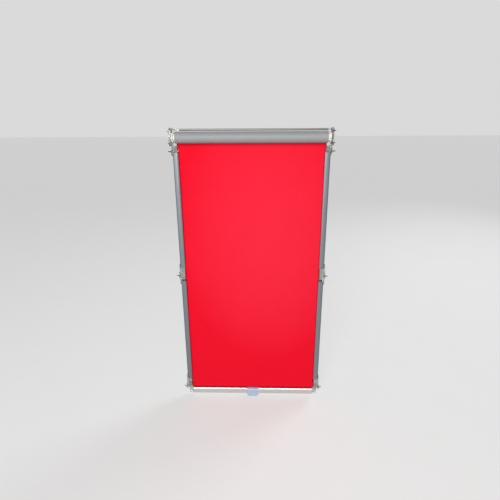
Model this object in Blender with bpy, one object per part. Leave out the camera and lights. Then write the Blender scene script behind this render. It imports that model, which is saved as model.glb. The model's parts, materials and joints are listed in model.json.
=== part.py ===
"""Blackout roller blind, modelled as the pieces it comes apart into.

A spring roller hangs in two clear brackets. The blackout cloth leaves the roll at its
back, runs down between two pairs of aluminium guide rails and ends in a bottom
bar, whose sliders run inside the rails and hold the bar wherever the pull tab leaves it.

Metres, +Z up, +Y towards the back, -Y towards the front. Distances are measured from
the roller's axis, and the whole blind is then moved so that the middle of its overall
box is the origin.
"""

from math import asin, atan2, ceil, copysign, cos, pi, sin, sqrt, tan

import bmesh
import bpy
from mathutils import Vector

# Fits between pieces
GAP = 0.0003
RUNNING = 0.0006

# Edges, and how far bodies that become one piece reach into each other
EDGE = 0.0006
CHAMFER = 0.0008
BITE = 0.0005
OVERCUT = 0.0010

# Overall sizes
RECESS_WIDTH = 0.390
UPPER_RAIL_LENGTH = 0.3037
LOWER_RAIL_LENGTH = 0.3140

# Cloth
CLOTH_THICKNESS = 0.00045
WRAPS_AT_REST = 3
SPIRAL_STEP_ANGLE = 0.04

# Roller tube, with the groove that holds the cloth's edge
TUBE_RADIUS = 0.01225
TUBE_WALL = 0.0012
GROOVE_DEPTH = 0.0024
GROOVE_HALF_WIDTH = 0.0018
SPLINE_TAPER = 0.7

# Brackets, measured inwards from their outer faces
BRACKET_FRONT = 0.0135
BRACKET_BOTTOM = 0.0195
BRACKET_BASE = 0.0022
BRACKET_HEIGHT = 0.0050
BRACKET_RIM = 0.0016
BRACKET_CORNER = 0.0070
BRACKET_CLEAR = 0.0010
BRACKET_ABOVE_HEAD = 0.0031
SEAT_RADIUS = 0.0082
SEAT_DEPTH = 0.0038
SEAT_RIB = 0.0014
RIB_STEP = 0.0008
PAD_RING = 0.0010
PEG_WALL = 0.0010

# Head profile, above and behind the roll
HEAD_FRONT = 0.0102
HEAD_DEPTH = 0.0052
HEAD_HEIGHT = 0.0050
HEAD_WALL = 0.0010
HEAD_LIP = 0.0008
LEFT_CAP_LENGTH = 0.0164
RIGHT_CAP_LENGTH = 0.0064
HEAD_CAP_PLUG = 0.0080
PEG_RADIUS = 0.0013
PEG_FORWARD = 0.0008

# Guide rails: a lipped channel with a dovetail rib along its outer web
RAIL_DEPTH = 0.0140
RAIL_WIDTH = 0.0115
RAIL_WALL = 0.0012
RAIL_SLOT = 0.0022
RAIL_BEVEL_WIDTH = 0.0030
RAIL_BEVEL_DEPTH = 0.0010
DOVETAIL_HEIGHT = 0.0018
DOVETAIL_NECK = 0.0022
DOVETAIL_FLARE = 0.0010

# Rail clips, connectors and holders, in clear plastic
CLIP_PLATE = 0.0020
CLIP_TAB = 0.0175
CLIP_CORNER = 0.0050
CLIP_EAR = 0.0165
EAR_FILLET = 0.0020
CLIP_GRIP = 0.0090
JAW_FLOOR = 0.0004
JAW_ROOM = 0.0005
JAW_INSET = 0.0004
TOP_CLIP_LENGTH = 0.0155
TOP_CLIP_STOP = 0.0020
STOP_ROOM = 0.0010
CONNECTOR_LENGTH = 0.0380
HOLDER_LENGTH = 0.0330

# Bottom bar
BAR_HEIGHT = 0.0190
BAR_WALL = 0.0012
BAR_SHOULDER = 0.0030
BAR_CREASE = 0.0060
BAR_TOP_SLOPE = 0.0005
BAR_FOOT_SLOPE = 0.0018
BAR_TOP_BACK = 0.0050
BAR_FOOT_BACK = 0.0040
BAR_SLOT = 0.0018
BAR_SHELF = 0.0010
BAR_DROP = 0.0022
HEM_ROD_RADIUS = 0.0014
HEM_WALL = 0.0005
HEM_INSET = 0.0015

# Sliders at the bar's ends
SLIDER_CAP = 0.0011
SLIDER_PLUG = 0.0150
SLIDER_NECK = 0.0011
NECK_INSET = 0.0013
SLIDER_ROOM = 0.0016
SLIDER_ENGAGED = 0.0135
SLIDER_HEAD_BOTTOM = 0.0068
SLIDER_RIDGE = 0.0030
BRAKE_POCKET = 0.0014
BRAKE_STRIP = 0.0003
BRAKE_HALF_WIDTH = 0.0025

# Pull tab
TAB_WIDTH = 0.0370
TAB_ABOVE_BAR = 0.0012
TAB_BELOW_BAR = 0.0045
TAB_STRAIGHT = 0.0095
TAB_CORNER = 0.0012
TAB_FULLNESS = 0.75
TAB_THICKNESS = 0.0020
TAB_RIM = 0.0020
TAB_RIM_HEIGHT = 0.0012
TAB_TILT = 0.04
TAB_CLIP_WIDTH = 0.0320
TAB_CLIP_WALL = 0.0014

# End plugs of the roller
SHOULDER = 0.0008
HUB_RADIUS = 0.0085
HUB_LENGTH = 0.0030
DISC_RADIUS = 0.0136
DISC_THICKNESS = 0.0027
DISC_EDGE = 0.0004
NOSE_RADIUS = 0.0050
NOSE_LENGTH = 0.0006
PLUG_LENGTH = 0.0230

# Spring motor in the left end
SPINDLE_RADIUS = 0.0030
SPINDLE_INSET = 0.0020
TONGUE_THICKNESS = 0.0024
TONGUE_INSET = 0.0001
MOTOR_SPRING_LENGTH = 0.0742
MOTOR_SPRING_ROOM = 0.00055
MOTOR_WIRE_RADIUS = 0.0009
MOTOR_SPRING_PITCH = 0.0038
SPIGOT_LENGTH = 0.0060
ANCHOR_LENGTH = 0.0060
DRIVE_PLUG_LENGTH = 0.0150

# Sprung pin in the right end
PIN_RADIUS = 0.0028
PIN_COLLAR_STEP = 0.0017
PIN_COLLAR_LENGTH = 0.0015
PIN_TAIL_STEP = 0.0004
PIN_GUIDE = 0.0100
PIN_WIRE_RADIUS = 0.0004
PIN_SPRING_PITCH = 0.0022
PLUG_CAP_LENGTH = 0.0030

# Fixing screws
SCREW_RADIUS = 0.00145
SCREW_LENGTH = 0.0100
SCREW_POINT = 0.0025
SCREW_TIP = 0.0002
SCREW_HEAD_RADIUS = 0.0030
SCREW_HEAD_HEIGHT = 0.0017
SCREW_CROWN = 0.0010
SCREW_PAD = 0.0012

# Facets of the round shapes, and the angles in radians above which an edge is sharp
ROUND = 32
MEDIUM_ROUND = 20
SMALL_ROUND = 16
TINY_ROUND = 12
GROOVE_FLOOR = (1.0, 0.4, -0.4, -1.0)
GROOVE_POINTS = len(GROOVE_FLOOR)
CORNER_STEPS = 4
SHARP_ANGLE = 0.6
SHARP_WIRE_ANGLE = 1.2

# Across the blind: the roller between its brackets, and the rails between their clips
HALF_RECESS = RECESS_WIDTH / 2
SEAT_FACE = HALF_RECESS - BRACKET_HEIGHT
NOSE_TIP = SEAT_FACE - RUNNING
TUBE_END = NOSE_TIP - NOSE_LENGTH - DISC_THICKNESS - HUB_LENGTH - SHOULDER - GAP
PLUG_START = TUBE_END - PLUG_LENGTH
CLOTH_WIDTH = 2 * TUBE_END
HEAD_LEFT = SEAT_FACE - LEFT_CAP_LENGTH - 2 * GAP
HEAD_RIGHT = SEAT_FACE - RIGHT_CAP_LENGTH - 2 * GAP
RAIL_OUTSIDE = HALF_RECESS - CLIP_PLATE - JAW_FLOOR - GAP - DOVETAIL_HEIGHT
RAIL_INSIDE = RAIL_OUTSIDE - RAIL_WIDTH
RAIL_WEB = RAIL_OUTSIDE - RAIL_WALL
CLIP_INSIDE = RAIL_OUTSIDE + GAP
BAR_HALF_LENGTH = RAIL_INSIDE - RUNNING - SLIDER_CAP - GAP
SCREW_SEAT = BRACKET_BASE + SCREW_PAD

# Down the blind: clips, rails and the bar below the brackets
SLEEVE_BORE = TUBE_RADIUS + GAP
ROLL_RADIUS = SLEEVE_BORE + WRAPS_AT_REST * CLOTH_THICKNESS
CLOTH_Y = ROLL_RADIUS - CLOTH_THICKNESS / 2
TOP_CLIP_Z = -BRACKET_BOTTOM - BRACKET_CLEAR
UPPER_RAIL_Z = TOP_CLIP_Z - TOP_CLIP_LENGTH - GAP
CONNECTOR_Z = UPPER_RAIL_Z - UPPER_RAIL_LENGTH - GAP
LOWER_RAIL_Z = CONNECTOR_Z - CONNECTOR_LENGTH - GAP
HOLDER_Z = LOWER_RAIL_Z - LOWER_RAIL_LENGTH - GAP
HOLDER_FOOT_Z = HOLDER_Z - HOLDER_LENGTH
BAR_TOP_Z = HOLDER_FOOT_Z - BAR_DROP
BAR_Z = BAR_TOP_Z - BAR_HEIGHT / 2
TAB_FOOT_Z = BAR_Z - BAR_HEIGHT / 2 - TAB_BELOW_BAR
SLIDER_HEAD_TOP = HOLDER_FOOT_Z + SLIDER_ENGAGED - BAR_Z
SLIDER_HEAD_DEPTH = RAIL_DEPTH - 2 * RAIL_WALL - 2 * SLIDER_ROOM
BAR_TRAVEL = TOP_CLIP_Z - TOP_CLIP_STOP - RUNNING - (BAR_Z + SLIDER_HEAD_TOP)

# Round the roll, which grows to its wound radius as the bar rises
WOUND_RADIUS = sqrt(ROLL_RADIUS**2 + BAR_TRAVEL * CLOTH_THICKNESS / pi)
HEAD_BOTTOM_Z = sqrt((WOUND_RADIUS + RUNNING) ** 2 - HEAD_FRONT**2)
HEAD_TOP_Z = HEAD_BOTTOM_Z + HEAD_HEIGHT
HEAD_BACK = HEAD_FRONT + HEAD_DEPTH
BRACKET_TOP = HEAD_TOP_Z + BRACKET_ABOVE_HEAD
BRACKET_BACK = HEAD_BACK + GAP
PEG_Y = HEAD_FRONT + HEAD_DEPTH / 2 - PEG_FORWARD
PEG_Z = HEAD_BOTTOM_Z + HEAD_HEIGHT / 2

# Inside the roller
BARREL_RADIUS = TUBE_RADIUS - TUBE_WALL - GAP
ANCHOR_RADIUS = TUBE_RADIUS - GROOVE_DEPTH - TUBE_WALL - RUNNING
ANCHOR_X = -PLUG_START + RUNNING
MOTOR_SPRING_X = ANCHOR_X + ANCHOR_LENGTH + GAP
MOTOR_SPRING_RADIUS = ANCHOR_RADIUS - MOTOR_SPRING_ROOM - MOTOR_WIRE_RADIUS
SPIGOT_RADIUS = MOTOR_SPRING_RADIUS - MOTOR_WIRE_RADIUS - GAP
SPINDLE_HOLE = SPINDLE_RADIUS + GAP
DRIVE_PLUG_X = MOTOR_SPRING_X + MOTOR_SPRING_LENGTH + GAP
PIN_COLLAR_RADIUS = PIN_RADIUS + PIN_COLLAR_STEP
PIN_TAIL_RADIUS = PIN_RADIUS - PIN_TAIL_STEP
PIN_SPRING_RADIUS = (PIN_COLLAR_RADIUS + PIN_TAIL_RADIUS) / 2
PIN_COLLAR_X = NOSE_TIP - PIN_GUIDE - GAP

# The middle of the blind's overall box, seen from the roller's axis
MIDDLE_Y = (CLOTH_Y + RAIL_DEPTH / 2 - ROLL_RADIUS) / 2
MIDDLE_Z = (BRACKET_TOP + TAB_FOOT_Z) / 2


def clear_scene():
    for obj in list(bpy.data.objects):
        bpy.data.objects.remove(obj)


def finish(name, colour, roughness, metallic=0.0, alpha=1.0):
    """A Principled material."""
    material = bpy.data.materials.new(name)
    material.use_nodes = True
    shader = material.node_tree.nodes["Principled BSDF"]
    shader.inputs["Base Color"].default_value = (*colour, 1.0)
    shader.inputs["Roughness"].default_value = roughness
    shader.inputs["Metallic"].default_value = metallic
    shader.inputs["Alpha"].default_value = alpha
    return material


def empty(name, location, parent=None):
    """An axis or a reference point that pieces hang on."""
    marker = bpy.data.objects.new(name, None)
    marker.location = location
    marker.parent = parent
    bpy.context.collection.objects.link(marker)
    return marker


def circle(radius, sides, centre=(0.0, 0.0)):
    """Points round a circle."""
    turns = [2 * pi * i / sides for i in range(sides)]
    return [(centre[0] + radius * cos(t), centre[1] + radius * sin(t)) for t in turns]


def outline(corners, steps=CORNER_STEPS):
    """A closed outline through corners (a, b, radius), each radius made an arc."""
    points = []
    for i, (a, b, radius) in enumerate(corners):
        here = Vector((a, b))
        if not radius:
            points.append((a, b))
            continue
        back = (Vector(corners[i - 1][:2]) - here).normalized()
        ahead = (Vector(corners[(i + 1) % len(corners)][:2]) - here).normalized()
        half = back.angle(ahead) / 2
        centre = here + (back + ahead).normalized() * radius / sin(half)
        first = here + back * radius / tan(half) - centre
        last = here + ahead * radius / tan(half) - centre
        start = atan2(first.y, first.x)
        sweep = atan2(first.x * last.y - first.y * last.x, first.dot(last))
        for step in range(steps + 1):
            turn = start + sweep * step / steps
            points.append((centre.x + radius * cos(turn), centre.y + radius * sin(turn)))
    return points


def box_outline(low, high, radius=0.0):
    """A rectangle from low to high, with rounded corners."""
    (a, b), (c, d) = low, high
    return outline([(a, b, radius), (c, b, radius), (c, d, radius), (a, d, radius)])


def along(axis, points, place):
    """The outline's points set at one place along an axis."""
    if axis == "X":
        return [(place, a, b) for a, b in points]
    if axis == "Y":
        return [(a, place, b) for a, b in points]
    return [(a, b, place) for a, b in points]


def loft(name, loops, ring=False, crease=SHARP_ANGLE):
    """A skin over a row of loops. A ring meets its own start, other skins are capped."""
    shape = bmesh.new()
    rows = [[shape.verts.new(point) for point in loop] for loop in loops]
    pairs = list(zip(rows, rows[1:]))
    if ring:
        pairs.append((rows[-1], rows[0]))
    else:
        shape.faces.new(rows[0])
        shape.faces.new(rows[-1])
    for row, other in pairs:
        for i in range(len(row)):
            j = (i + 1) % len(row)
            shape.faces.new((row[i], row[j], other[j], other[i]))
    bmesh.ops.recalc_face_normals(shape, faces=shape.faces)
    mesh = bpy.data.meshes.new(name)
    shape.to_mesh(mesh)
    shape.free()
    mesh.shade_smooth()
    mesh.set_sharp_from_angle(angle=crease)
    obj = bpy.data.objects.new(name, mesh)
    bpy.context.collection.objects.link(obj)
    return obj


def prism(name, axis, points, start, end):
    """An outline pushed along an axis."""
    return loft(name, [along(axis, points, start), along(axis, points, end)])


def pipe(name, axis, outer, inner, start, end):
    """A wall between two outlines with as many points each, pushed along an axis."""
    loops = [(outer, start), (outer, end), (inner, end), (inner, start)]
    return loft(name, [along(axis, points, place) for points, place in loops], ring=True)


def turned(name, profile, sides=ROUND, ring=False, notched=()):
    """A profile of (x, radius) turned about X. Rows in notched clear the tube's groove."""
    loops = []
    for row, (x, radius) in enumerate(profile):
        if row in notched:
            points = groove_notch(radius, sides, GAP)
        elif notched:
            points = circle_facing(radius, groove_notch(profile[notched[0]][1], sides, GAP))
        else:
            points = circle(radius, sides)
        loops.append(along("X", points, x))
    return loft(name, loops, ring=ring)


def circle_facing(radius, notch):
    """A plain circle whose points face those of a notched one, so that no face twists."""
    turns = [atan2(b, a) for a, b in notch[:-GROOVE_POINTS]]
    first, last = turns[-1], turns[0]
    turns += [first + (last - first) * i / (GROOVE_POINTS + 1) for i in range(1, GROOVE_POINTS + 1)]
    return [(radius * cos(t), radius * sin(t)) for t in turns]


def combine(obj, operation, tool):
    """Joins a tool to a piece, or cuts it out, and hides the tool."""
    tool.parent = obj
    tool.hide_render = True
    tool.display_type = "WIRE"
    step = obj.modifiers.new(tool.name, "BOOLEAN")
    step.operation = operation
    step.object = tool
    return obj


def join(obj, tool):
    return combine(obj, "UNION", tool)


def cut(obj, tool):
    return combine(obj, "DIFFERENCE", tool)


def hang(obj, parent, material, location=(0.0, 0.0, 0.0), turn=0.0):
    """Puts a piece on its axis or reference point, in its finish."""
    obj.parent = parent
    obj.location = location
    obj.rotation_euler = (0.0, 0.0, turn)
    obj.data.materials.append(material)
    return obj


def groove_notch(radius, sides, clearance):
    """A circle with the tube's groove pressed into it, on the top of the roller."""
    half = asin((GROOVE_HALF_WIDTH + TUBE_WALL + clearance) / radius)
    points = []
    steps = sides - GROOVE_POINTS - 1
    for i in range(steps + 1):
        turn = pi / 2 + half + (2 * pi - 2 * half) * i / steps
        points.append((radius * cos(turn), radius * sin(turn)))
    for side in GROOVE_FLOOR:
        low = radius - GROOVE_DEPTH - clearance
        turn = pi / 2 - half * side
        points.append((low * cos(turn), low * sin(turn)))
    return points


def tube_outer(sides):
    """The tube's outside, with the open groove that the cloth's spline lies in."""
    half = asin(GROOVE_HALF_WIDTH / TUBE_RADIUS)
    low = TUBE_RADIUS - GROOVE_DEPTH
    points = []
    steps = sides - GROOVE_POINTS - 1
    for i in range(steps + 1):
        turn = pi / 2 + half + (2 * pi - 2 * half) * i / steps
        points.append((TUBE_RADIUS * cos(turn), TUBE_RADIUS * sin(turn)))
    for side in GROOVE_FLOOR:
        across = side * GROOVE_HALF_WIDTH
        points.append((across, sqrt(low**2 - across**2)))
    return points


def make_roller_tube(parent, material):
    """Aluminium tube: the inner wall follows the groove at one wall's distance."""
    inner = groove_notch(TUBE_RADIUS - TUBE_WALL, ROUND + 4, 0.0)
    outer = tube_outer(ROUND + 4)
    tube = pipe("roller_tube", "X", outer, inner, -TUBE_END, TUBE_END)
    return hang(tube, parent, material)


def make_fabric_spline(parent, material):
    """Plastic strip that locks the cloth's edge in the groove."""
    low = TUBE_RADIUS - GROOVE_DEPTH + GAP
    high = TUBE_RADIUS - GAP
    half = GROOVE_HALF_WIDTH - GAP
    tip = half * SPLINE_TAPER
    corners = [(-half, low, 0), (half, low, 0), (tip, high, 0), (-tip, high, 0)]
    strip = prism("fabric_spline", "X", outline(corners), -TUBE_END + GAP, TUBE_END - GAP)
    return hang(strip, parent, material)


def make_fabric_roll(parent, material):
    """Cloth wound on the tube: a spiral that ends where the cloth leaves at the back."""
    sides = ROUND + 8
    outer = []
    inner = []
    for i in range(sides):
        share = i / (sides - 1)
        turn = 2 * pi * share
        radius = ROLL_RADIUS - CLOTH_THICKNESS * share
        outer.append((radius * cos(turn), radius * sin(turn)))
        slip = SPIRAL_STEP_ANGLE * (share - 0.5)
        inner.append((SLEEVE_BORE * cos(turn - slip), SLEEVE_BORE * sin(turn - slip)))
    roll = pipe("fabric_roll", "X", outer, inner, -TUBE_END, TUBE_END)
    return hang(roll, parent, material)


def end_plug_profile(side, bore):
    """The flanged end plug from inside the tube to its nose, as (x, radius) rows."""
    shoulder = TUBE_END + GAP
    hub = shoulder + SHOULDER
    disc = hub + HUB_LENGTH
    nose = disc + DISC_THICKNESS
    outside = [
        (PLUG_START, BARREL_RADIUS),
        (shoulder, BARREL_RADIUS),
        (shoulder, TUBE_RADIUS - GAP),
        (hub, TUBE_RADIUS - GAP),
        (hub, HUB_RADIUS),
        (disc, HUB_RADIUS),
        (disc, DISC_RADIUS - DISC_EDGE),
        (disc + DISC_EDGE, DISC_RADIUS),
        (nose - CHAMFER, DISC_RADIUS),
        (nose, DISC_RADIUS - CHAMFER),
        (nose, NOSE_RADIUS),
        (NOSE_TIP, NOSE_RADIUS),
    ]
    return [(side * x, radius) for x, radius in outside + bore]


def make_spring_plug(parent, material):
    """Left end plug: turns with the tube on the standing spindle."""
    bore = [(NOSE_TIP, SPINDLE_HOLE), (PLUG_START, SPINDLE_HOLE)]
    plug = turned("spring_plug", end_plug_profile(-1, bore), ring=True, notched=(0, 1))
    return hang(plug, parent, material)


def make_idle_plug(parent, material):
    """Right end plug: a chamber for the sprung pin, narrowed to guide it at the nose."""
    hole = PIN_RADIUS + GAP
    chamber = PIN_COLLAR_RADIUS + GAP
    guide = NOSE_TIP - PIN_GUIDE
    bore = [
        (NOSE_TIP, hole),
        (guide, hole),
        (guide, chamber),
        (PLUG_START, chamber),
    ]
    plug = turned("idle_plug", end_plug_profile(1, bore), ring=True, notched=(0, 1))
    return hang(plug, parent, material)


def make_idle_plug_cap(parent, material):
    """Cap that closes the pin's chamber and carries its spring."""
    start = PLUG_START - GAP
    spigot = PIN_COLLAR_RADIUS
    hole = PIN_TAIL_RADIUS + GAP
    profile = [
        (start - PLUG_CAP_LENGTH, BARREL_RADIUS),
        (start, BARREL_RADIUS),
        (start, spigot),
        (start + PLUG_CAP_LENGTH, spigot),
        (start + PLUG_CAP_LENGTH, hole),
        (start - PLUG_CAP_LENGTH, hole),
    ]
    return hang(turned("idle_plug_cap", profile, ring=True, notched=(0, 1)), parent, material)


def make_idle_pin(parent, material):
    """Steel pin with a spring collar: its tip rests in the right bracket's seat."""
    tip = SEAT_FACE + SEAT_DEPTH - GAP
    step = PIN_COLLAR_X - PIN_COLLAR_LENGTH
    profile = [
        (PLUG_START, PIN_TAIL_RADIUS),
        (step, PIN_TAIL_RADIUS),
        (step, PIN_COLLAR_RADIUS),
        (PIN_COLLAR_X, PIN_COLLAR_RADIUS),
        (PIN_COLLAR_X, PIN_RADIUS),
        (tip - CHAMFER, PIN_RADIUS),
        (tip, PIN_RADIUS - CHAMFER),
    ]
    return hang(turned("idle_pin", profile, MEDIUM_ROUND), parent, material)


def helix(name, start, end, radius, wire, pitch, steps, sides):
    """A wire wound round X from start to end, with both of its ends cut square."""
    first = start + wire
    length = end - wire - first
    turns = length / pitch
    count = ceil(turns * steps)
    loops = []
    for i in range(count + 1):
        turn = 2 * pi * turns * i / count
        outward = Vector((0.0, cos(turn), sin(turn)))
        ahead = Vector((pitch / (2 * pi * radius), -sin(turn), cos(turn))).normalized()
        across = outward.cross(ahead)
        centre = Vector((first + length * i / count, 0.0, 0.0)) + radius * outward
        loops.append([tuple(centre + a * outward + b * across) for a, b in circle(wire, sides)])
    return loft(name, loops, crease=SHARP_WIRE_ANGLE)


def make_idle_pin_spring(parent, material):
    """Compression spring between the chamber's cap and the pin's collar."""
    start = PLUG_START + PLUG_CAP_LENGTH
    end = PIN_COLLAR_X - PIN_COLLAR_LENGTH - GAP
    coil = (PIN_SPRING_RADIUS, PIN_WIRE_RADIUS, PIN_SPRING_PITCH)
    spring = helix("idle_pin_spring", start, end, *coil, 12, 5)
    return hang(spring, parent, material)


def make_spindle(parent, material):
    """Standing rod of the spring motor, flattened where the left bracket holds it."""
    tip = -(SEAT_FACE + SEAT_DEPTH - GAP)
    neck = -(SEAT_FACE - GAP)
    end = DRIVE_PLUG_X + DRIVE_PLUG_LENGTH - SPINDLE_INSET
    rod = turned("spindle", [(neck, SPINDLE_RADIUS), (end, SPINDLE_RADIUS)], MEDIUM_ROUND)
    half = TONGUE_THICKNESS / 2
    reach = sqrt(SPINDLE_RADIUS**2 - half**2) - TONGUE_INSET
    flats = box_outline((-half, -reach), (half, reach))
    tongue = prism("spindle_tongue", "X", flats, tip, neck + OVERCUT)
    return hang(join(rod, tongue), parent, material)


def make_spring_anchor(parent, material):
    """Collar fixed on the spindle, which holds the spring's standing end."""
    face = ANCHOR_X + ANCHOR_LENGTH
    profile = [
        (ANCHOR_X, ANCHOR_RADIUS),
        (face, ANCHOR_RADIUS),
        (face, SPIGOT_RADIUS),
        (face + SPIGOT_LENGTH, SPIGOT_RADIUS),
        (face + SPIGOT_LENGTH, SPINDLE_HOLE),
        (ANCHOR_X, SPINDLE_HOLE),
    ]
    return hang(turned("spring_anchor", profile, ring=True), parent, material)


def make_torsion_spring(parent, material):
    """The motor's spring, between the standing anchor and the plug that drives the tube."""
    end = MOTOR_SPRING_X + MOTOR_SPRING_LENGTH
    coil = (MOTOR_SPRING_RADIUS, MOTOR_WIRE_RADIUS, MOTOR_SPRING_PITCH)
    spring = helix("torsion_spring", MOTOR_SPRING_X, end, *coil, 12, 6)
    return hang(spring, parent, material)


def make_drive_plug(parent, material):
    """Plug keyed to the tube's groove, which turns on the spindle's free end."""
    start = DRIVE_PLUG_X
    end = start + DRIVE_PLUG_LENGTH
    profile = [
        (start, BARREL_RADIUS),
        (end, BARREL_RADIUS),
        (end, SPINDLE_HOLE),
        (start - SPIGOT_LENGTH, SPINDLE_HOLE),
        (start - SPIGOT_LENGTH, SPIGOT_RADIUS),
        (start, SPIGOT_RADIUS),
    ]
    return hang(turned("drive_plug", profile, ring=True, notched=(0, 1)), parent, material)


def make_bracket(name, side, parent, material):
    """Clear bracket: base, rim, pin seat with ribs, two screw pads and a socket for the head."""

    def slab(label, points, low, high):
        outer, inner = side * (HALF_RECESS - low), side * (HALF_RECESS - high)
        return prism(f"{name}_{label}", "X", points, outer, inner)

    edge = ((-BRACKET_FRONT, -BRACKET_BOTTOM), (BRACKET_BACK, BRACKET_TOP))
    inner = (
        (edge[0][0] + BRACKET_RIM, edge[0][1] + BRACKET_RIM),
        (edge[1][0] - BRACKET_RIM, edge[1][1] - BRACKET_RIM),
    )
    past = BRACKET_HEIGHT + OVERCUT
    sunk = BRACKET_BASE - BITE
    outer = box_outline(*edge, BRACKET_CORNER)
    body = prism(name, "X", outer, side * HALF_RECESS, side * SEAT_FACE)
    cut(body, slab("pocket", box_outline(*inner, BRACKET_CORNER - BRACKET_RIM), BRACKET_BASE, past))
    join(body, slab("seat", circle(SEAT_RADIUS, ROUND), sunk, BRACKET_HEIGHT))
    rib_top = BRACKET_HEIGHT - RIB_STEP
    rib = SEAT_RIB / 2
    reach = SEAT_RADIUS - BITE
    front_rib = box_outline((inner[0][0] - BITE, -rib), (-reach, rib))
    back_rib = box_outline((reach, -rib), (inner[1][0] + BITE, rib))
    join(body, slab("front_rib", front_rib, sunk, rib_top))
    join(body, slab("back_rib", back_rib, sunk, rib_top))
    for height in screw_heights():
        pad = circle(SCREW_HEAD_RADIUS + PAD_RING, MEDIUM_ROUND, (0, height))
        join(body, slab("screw_pad", pad, sunk, SCREW_SEAT))
        hole = circle(SCREW_RADIUS + GAP, SMALL_ROUND, (0, height))
        cut(body, slab("screw_hole", hole, -OVERCUT, BRACKET_HEIGHT))
    peg_bore = PEG_RADIUS + GAP
    boss = circle(peg_bore + PEG_WALL, MEDIUM_ROUND, (PEG_Y, PEG_Z))
    join(body, slab("peg_boss", boss, sunk, BRACKET_HEIGHT - GAP))
    cut(body, slab("peg_hole", circle(peg_bore, SMALL_ROUND, (PEG_Y, PEG_Z)), BRACKET_BASE, past))
    seat_bottom = BRACKET_HEIGHT - SEAT_DEPTH
    if side > 0:
        bore = circle(PIN_RADIUS + GAP, MEDIUM_ROUND)
    else:
        half = TONGUE_THICKNESS / 2 + GAP
        bore = box_outline((-half, -SPINDLE_HOLE), (half, SPINDLE_HOLE))
    cut(body, slab("seat_bore", bore, seat_bottom, past))
    return hang(body, parent, material)


def screw_heights():
    """The bracket's two screws, midway between the pin seat and each end."""
    low = -(SEAT_RADIUS + BRACKET_BOTTOM - BRACKET_RIM) / 2
    high = (SEAT_RADIUS + BRACKET_TOP - BRACKET_RIM) / 2
    return low, high


def make_screw(name, side, seat, y, z, parent, material):
    """Pan-head screw: seat is how far its pad stands in from its plate's outer face."""
    rows = []
    drop = SCREW_HEAD_RADIUS**2 - SCREW_CROWN**2
    for share in (1.0, 0.8, 0.4, 0.0):
        rows.append((-SCREW_HEAD_HEIGHT * share, sqrt(SCREW_HEAD_RADIUS**2 - drop * share**2)))
    rows += [(0.0, SCREW_RADIUS), (SCREW_LENGTH - SCREW_POINT, SCREW_RADIUS), (SCREW_LENGTH, SCREW_TIP)]
    screw = turned(name, [(side * x, radius) for x, radius in rows], TINY_ROUND)
    place = (side * (HALF_RECESS - seat - GAP), y, z)
    return hang(screw, parent, material, place)


def make_head_profile(parent, material):
    """Aluminium channel behind the roll, open at the back, with small return lips."""
    lip = HEAD_WALL + HEAD_LIP
    low, high = HEAD_BOTTOM_Z, HEAD_TOP_Z
    corners = [
        (HEAD_FRONT, low, CHAMFER),
        (HEAD_BACK, low, 0),
        (HEAD_BACK, low + lip, 0),
        (HEAD_BACK - HEAD_WALL, low + lip, 0),
        (HEAD_BACK - HEAD_WALL, low + HEAD_WALL, 0),
        (HEAD_FRONT + HEAD_WALL, low + HEAD_WALL, 0),
        (HEAD_FRONT + HEAD_WALL, high - HEAD_WALL, 0),
        (HEAD_BACK - HEAD_WALL, high - HEAD_WALL, 0),
        (HEAD_BACK - HEAD_WALL, high - lip, 0),
        (HEAD_BACK, high - lip, 0),
        (HEAD_BACK, high, 0),
        (HEAD_FRONT, high, CHAMFER),
    ]
    return hang(prism("head_profile", "X", outline(corners), -HEAD_LEFT, HEAD_RIGHT), parent, material)


def make_head_cap(name, side, profile_end, parent, material):
    """End cap: a plug inside the channel, a collar of its outline and a peg into the bracket."""
    lip = HEAD_WALL + GAP
    collar = box_outline((HEAD_FRONT, HEAD_BOTTOM_Z), (HEAD_BACK, HEAD_TOP_Z), CHAMFER)
    cap = prism(name, "X", collar, side * (profile_end + GAP), side * (SEAT_FACE - GAP))
    inside = box_outline((HEAD_FRONT + lip, HEAD_BOTTOM_Z + lip), (HEAD_BACK - lip, HEAD_TOP_Z - lip))
    plug_ends = (side * (profile_end - HEAD_CAP_PLUG), side * (profile_end + GAP + BITE))
    plug = prism(f"{name}_plug", "X", inside, *plug_ends)
    peg_end = HALF_RECESS - BRACKET_BASE - GAP
    peg_points = circle(PEG_RADIUS, TINY_ROUND, (PEG_Y, PEG_Z))
    peg = prism(f"{name}_peg", "X", peg_points, side * (SEAT_FACE - GAP - BITE), side * peg_end)
    return hang(join(join(cap, plug), peg), parent, material)


def channel_corners(side, outside, edge):
    """The rail's lipped channel as corners, from its front lip round to its back lip."""
    front, back = CLOTH_Y - RAIL_DEPTH / 2, CLOTH_Y + RAIL_DEPTH / 2
    slot_front, slot_back = CLOTH_Y - RAIL_SLOT / 2, CLOTH_Y + RAIL_SLOT / 2
    lip = RAIL_INSIDE + RAIL_WALL
    inner_width = RAIL_BEVEL_WIDTH - RAIL_WALL
    inner_depth = RAIL_BEVEL_DEPTH * inner_width / RAIL_BEVEL_WIDTH
    before = [
        (RAIL_INSIDE, slot_front, 0),
        (RAIL_INSIDE, front + RAIL_BEVEL_DEPTH, 0),
        (RAIL_INSIDE + RAIL_BEVEL_WIDTH, front, 0),
        (outside, front, edge),
    ]
    after = [
        (outside, back, edge),
        (RAIL_INSIDE, back, EDGE),
        (RAIL_INSIDE, slot_back, 0),
        (lip, slot_back, 0),
        (lip, back - RAIL_WALL, 0),
        (RAIL_WEB, back - RAIL_WALL, 0),
        (RAIL_WEB, front + RAIL_WALL, 0),
        (lip + inner_width, front + RAIL_WALL, 0),
        (lip, front + RAIL_WALL + inner_depth, 0),
        (lip, slot_front, 0),
    ]
    return [[(side * x, y, r) for x, y, r in part] for part in (before, after)]


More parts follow.
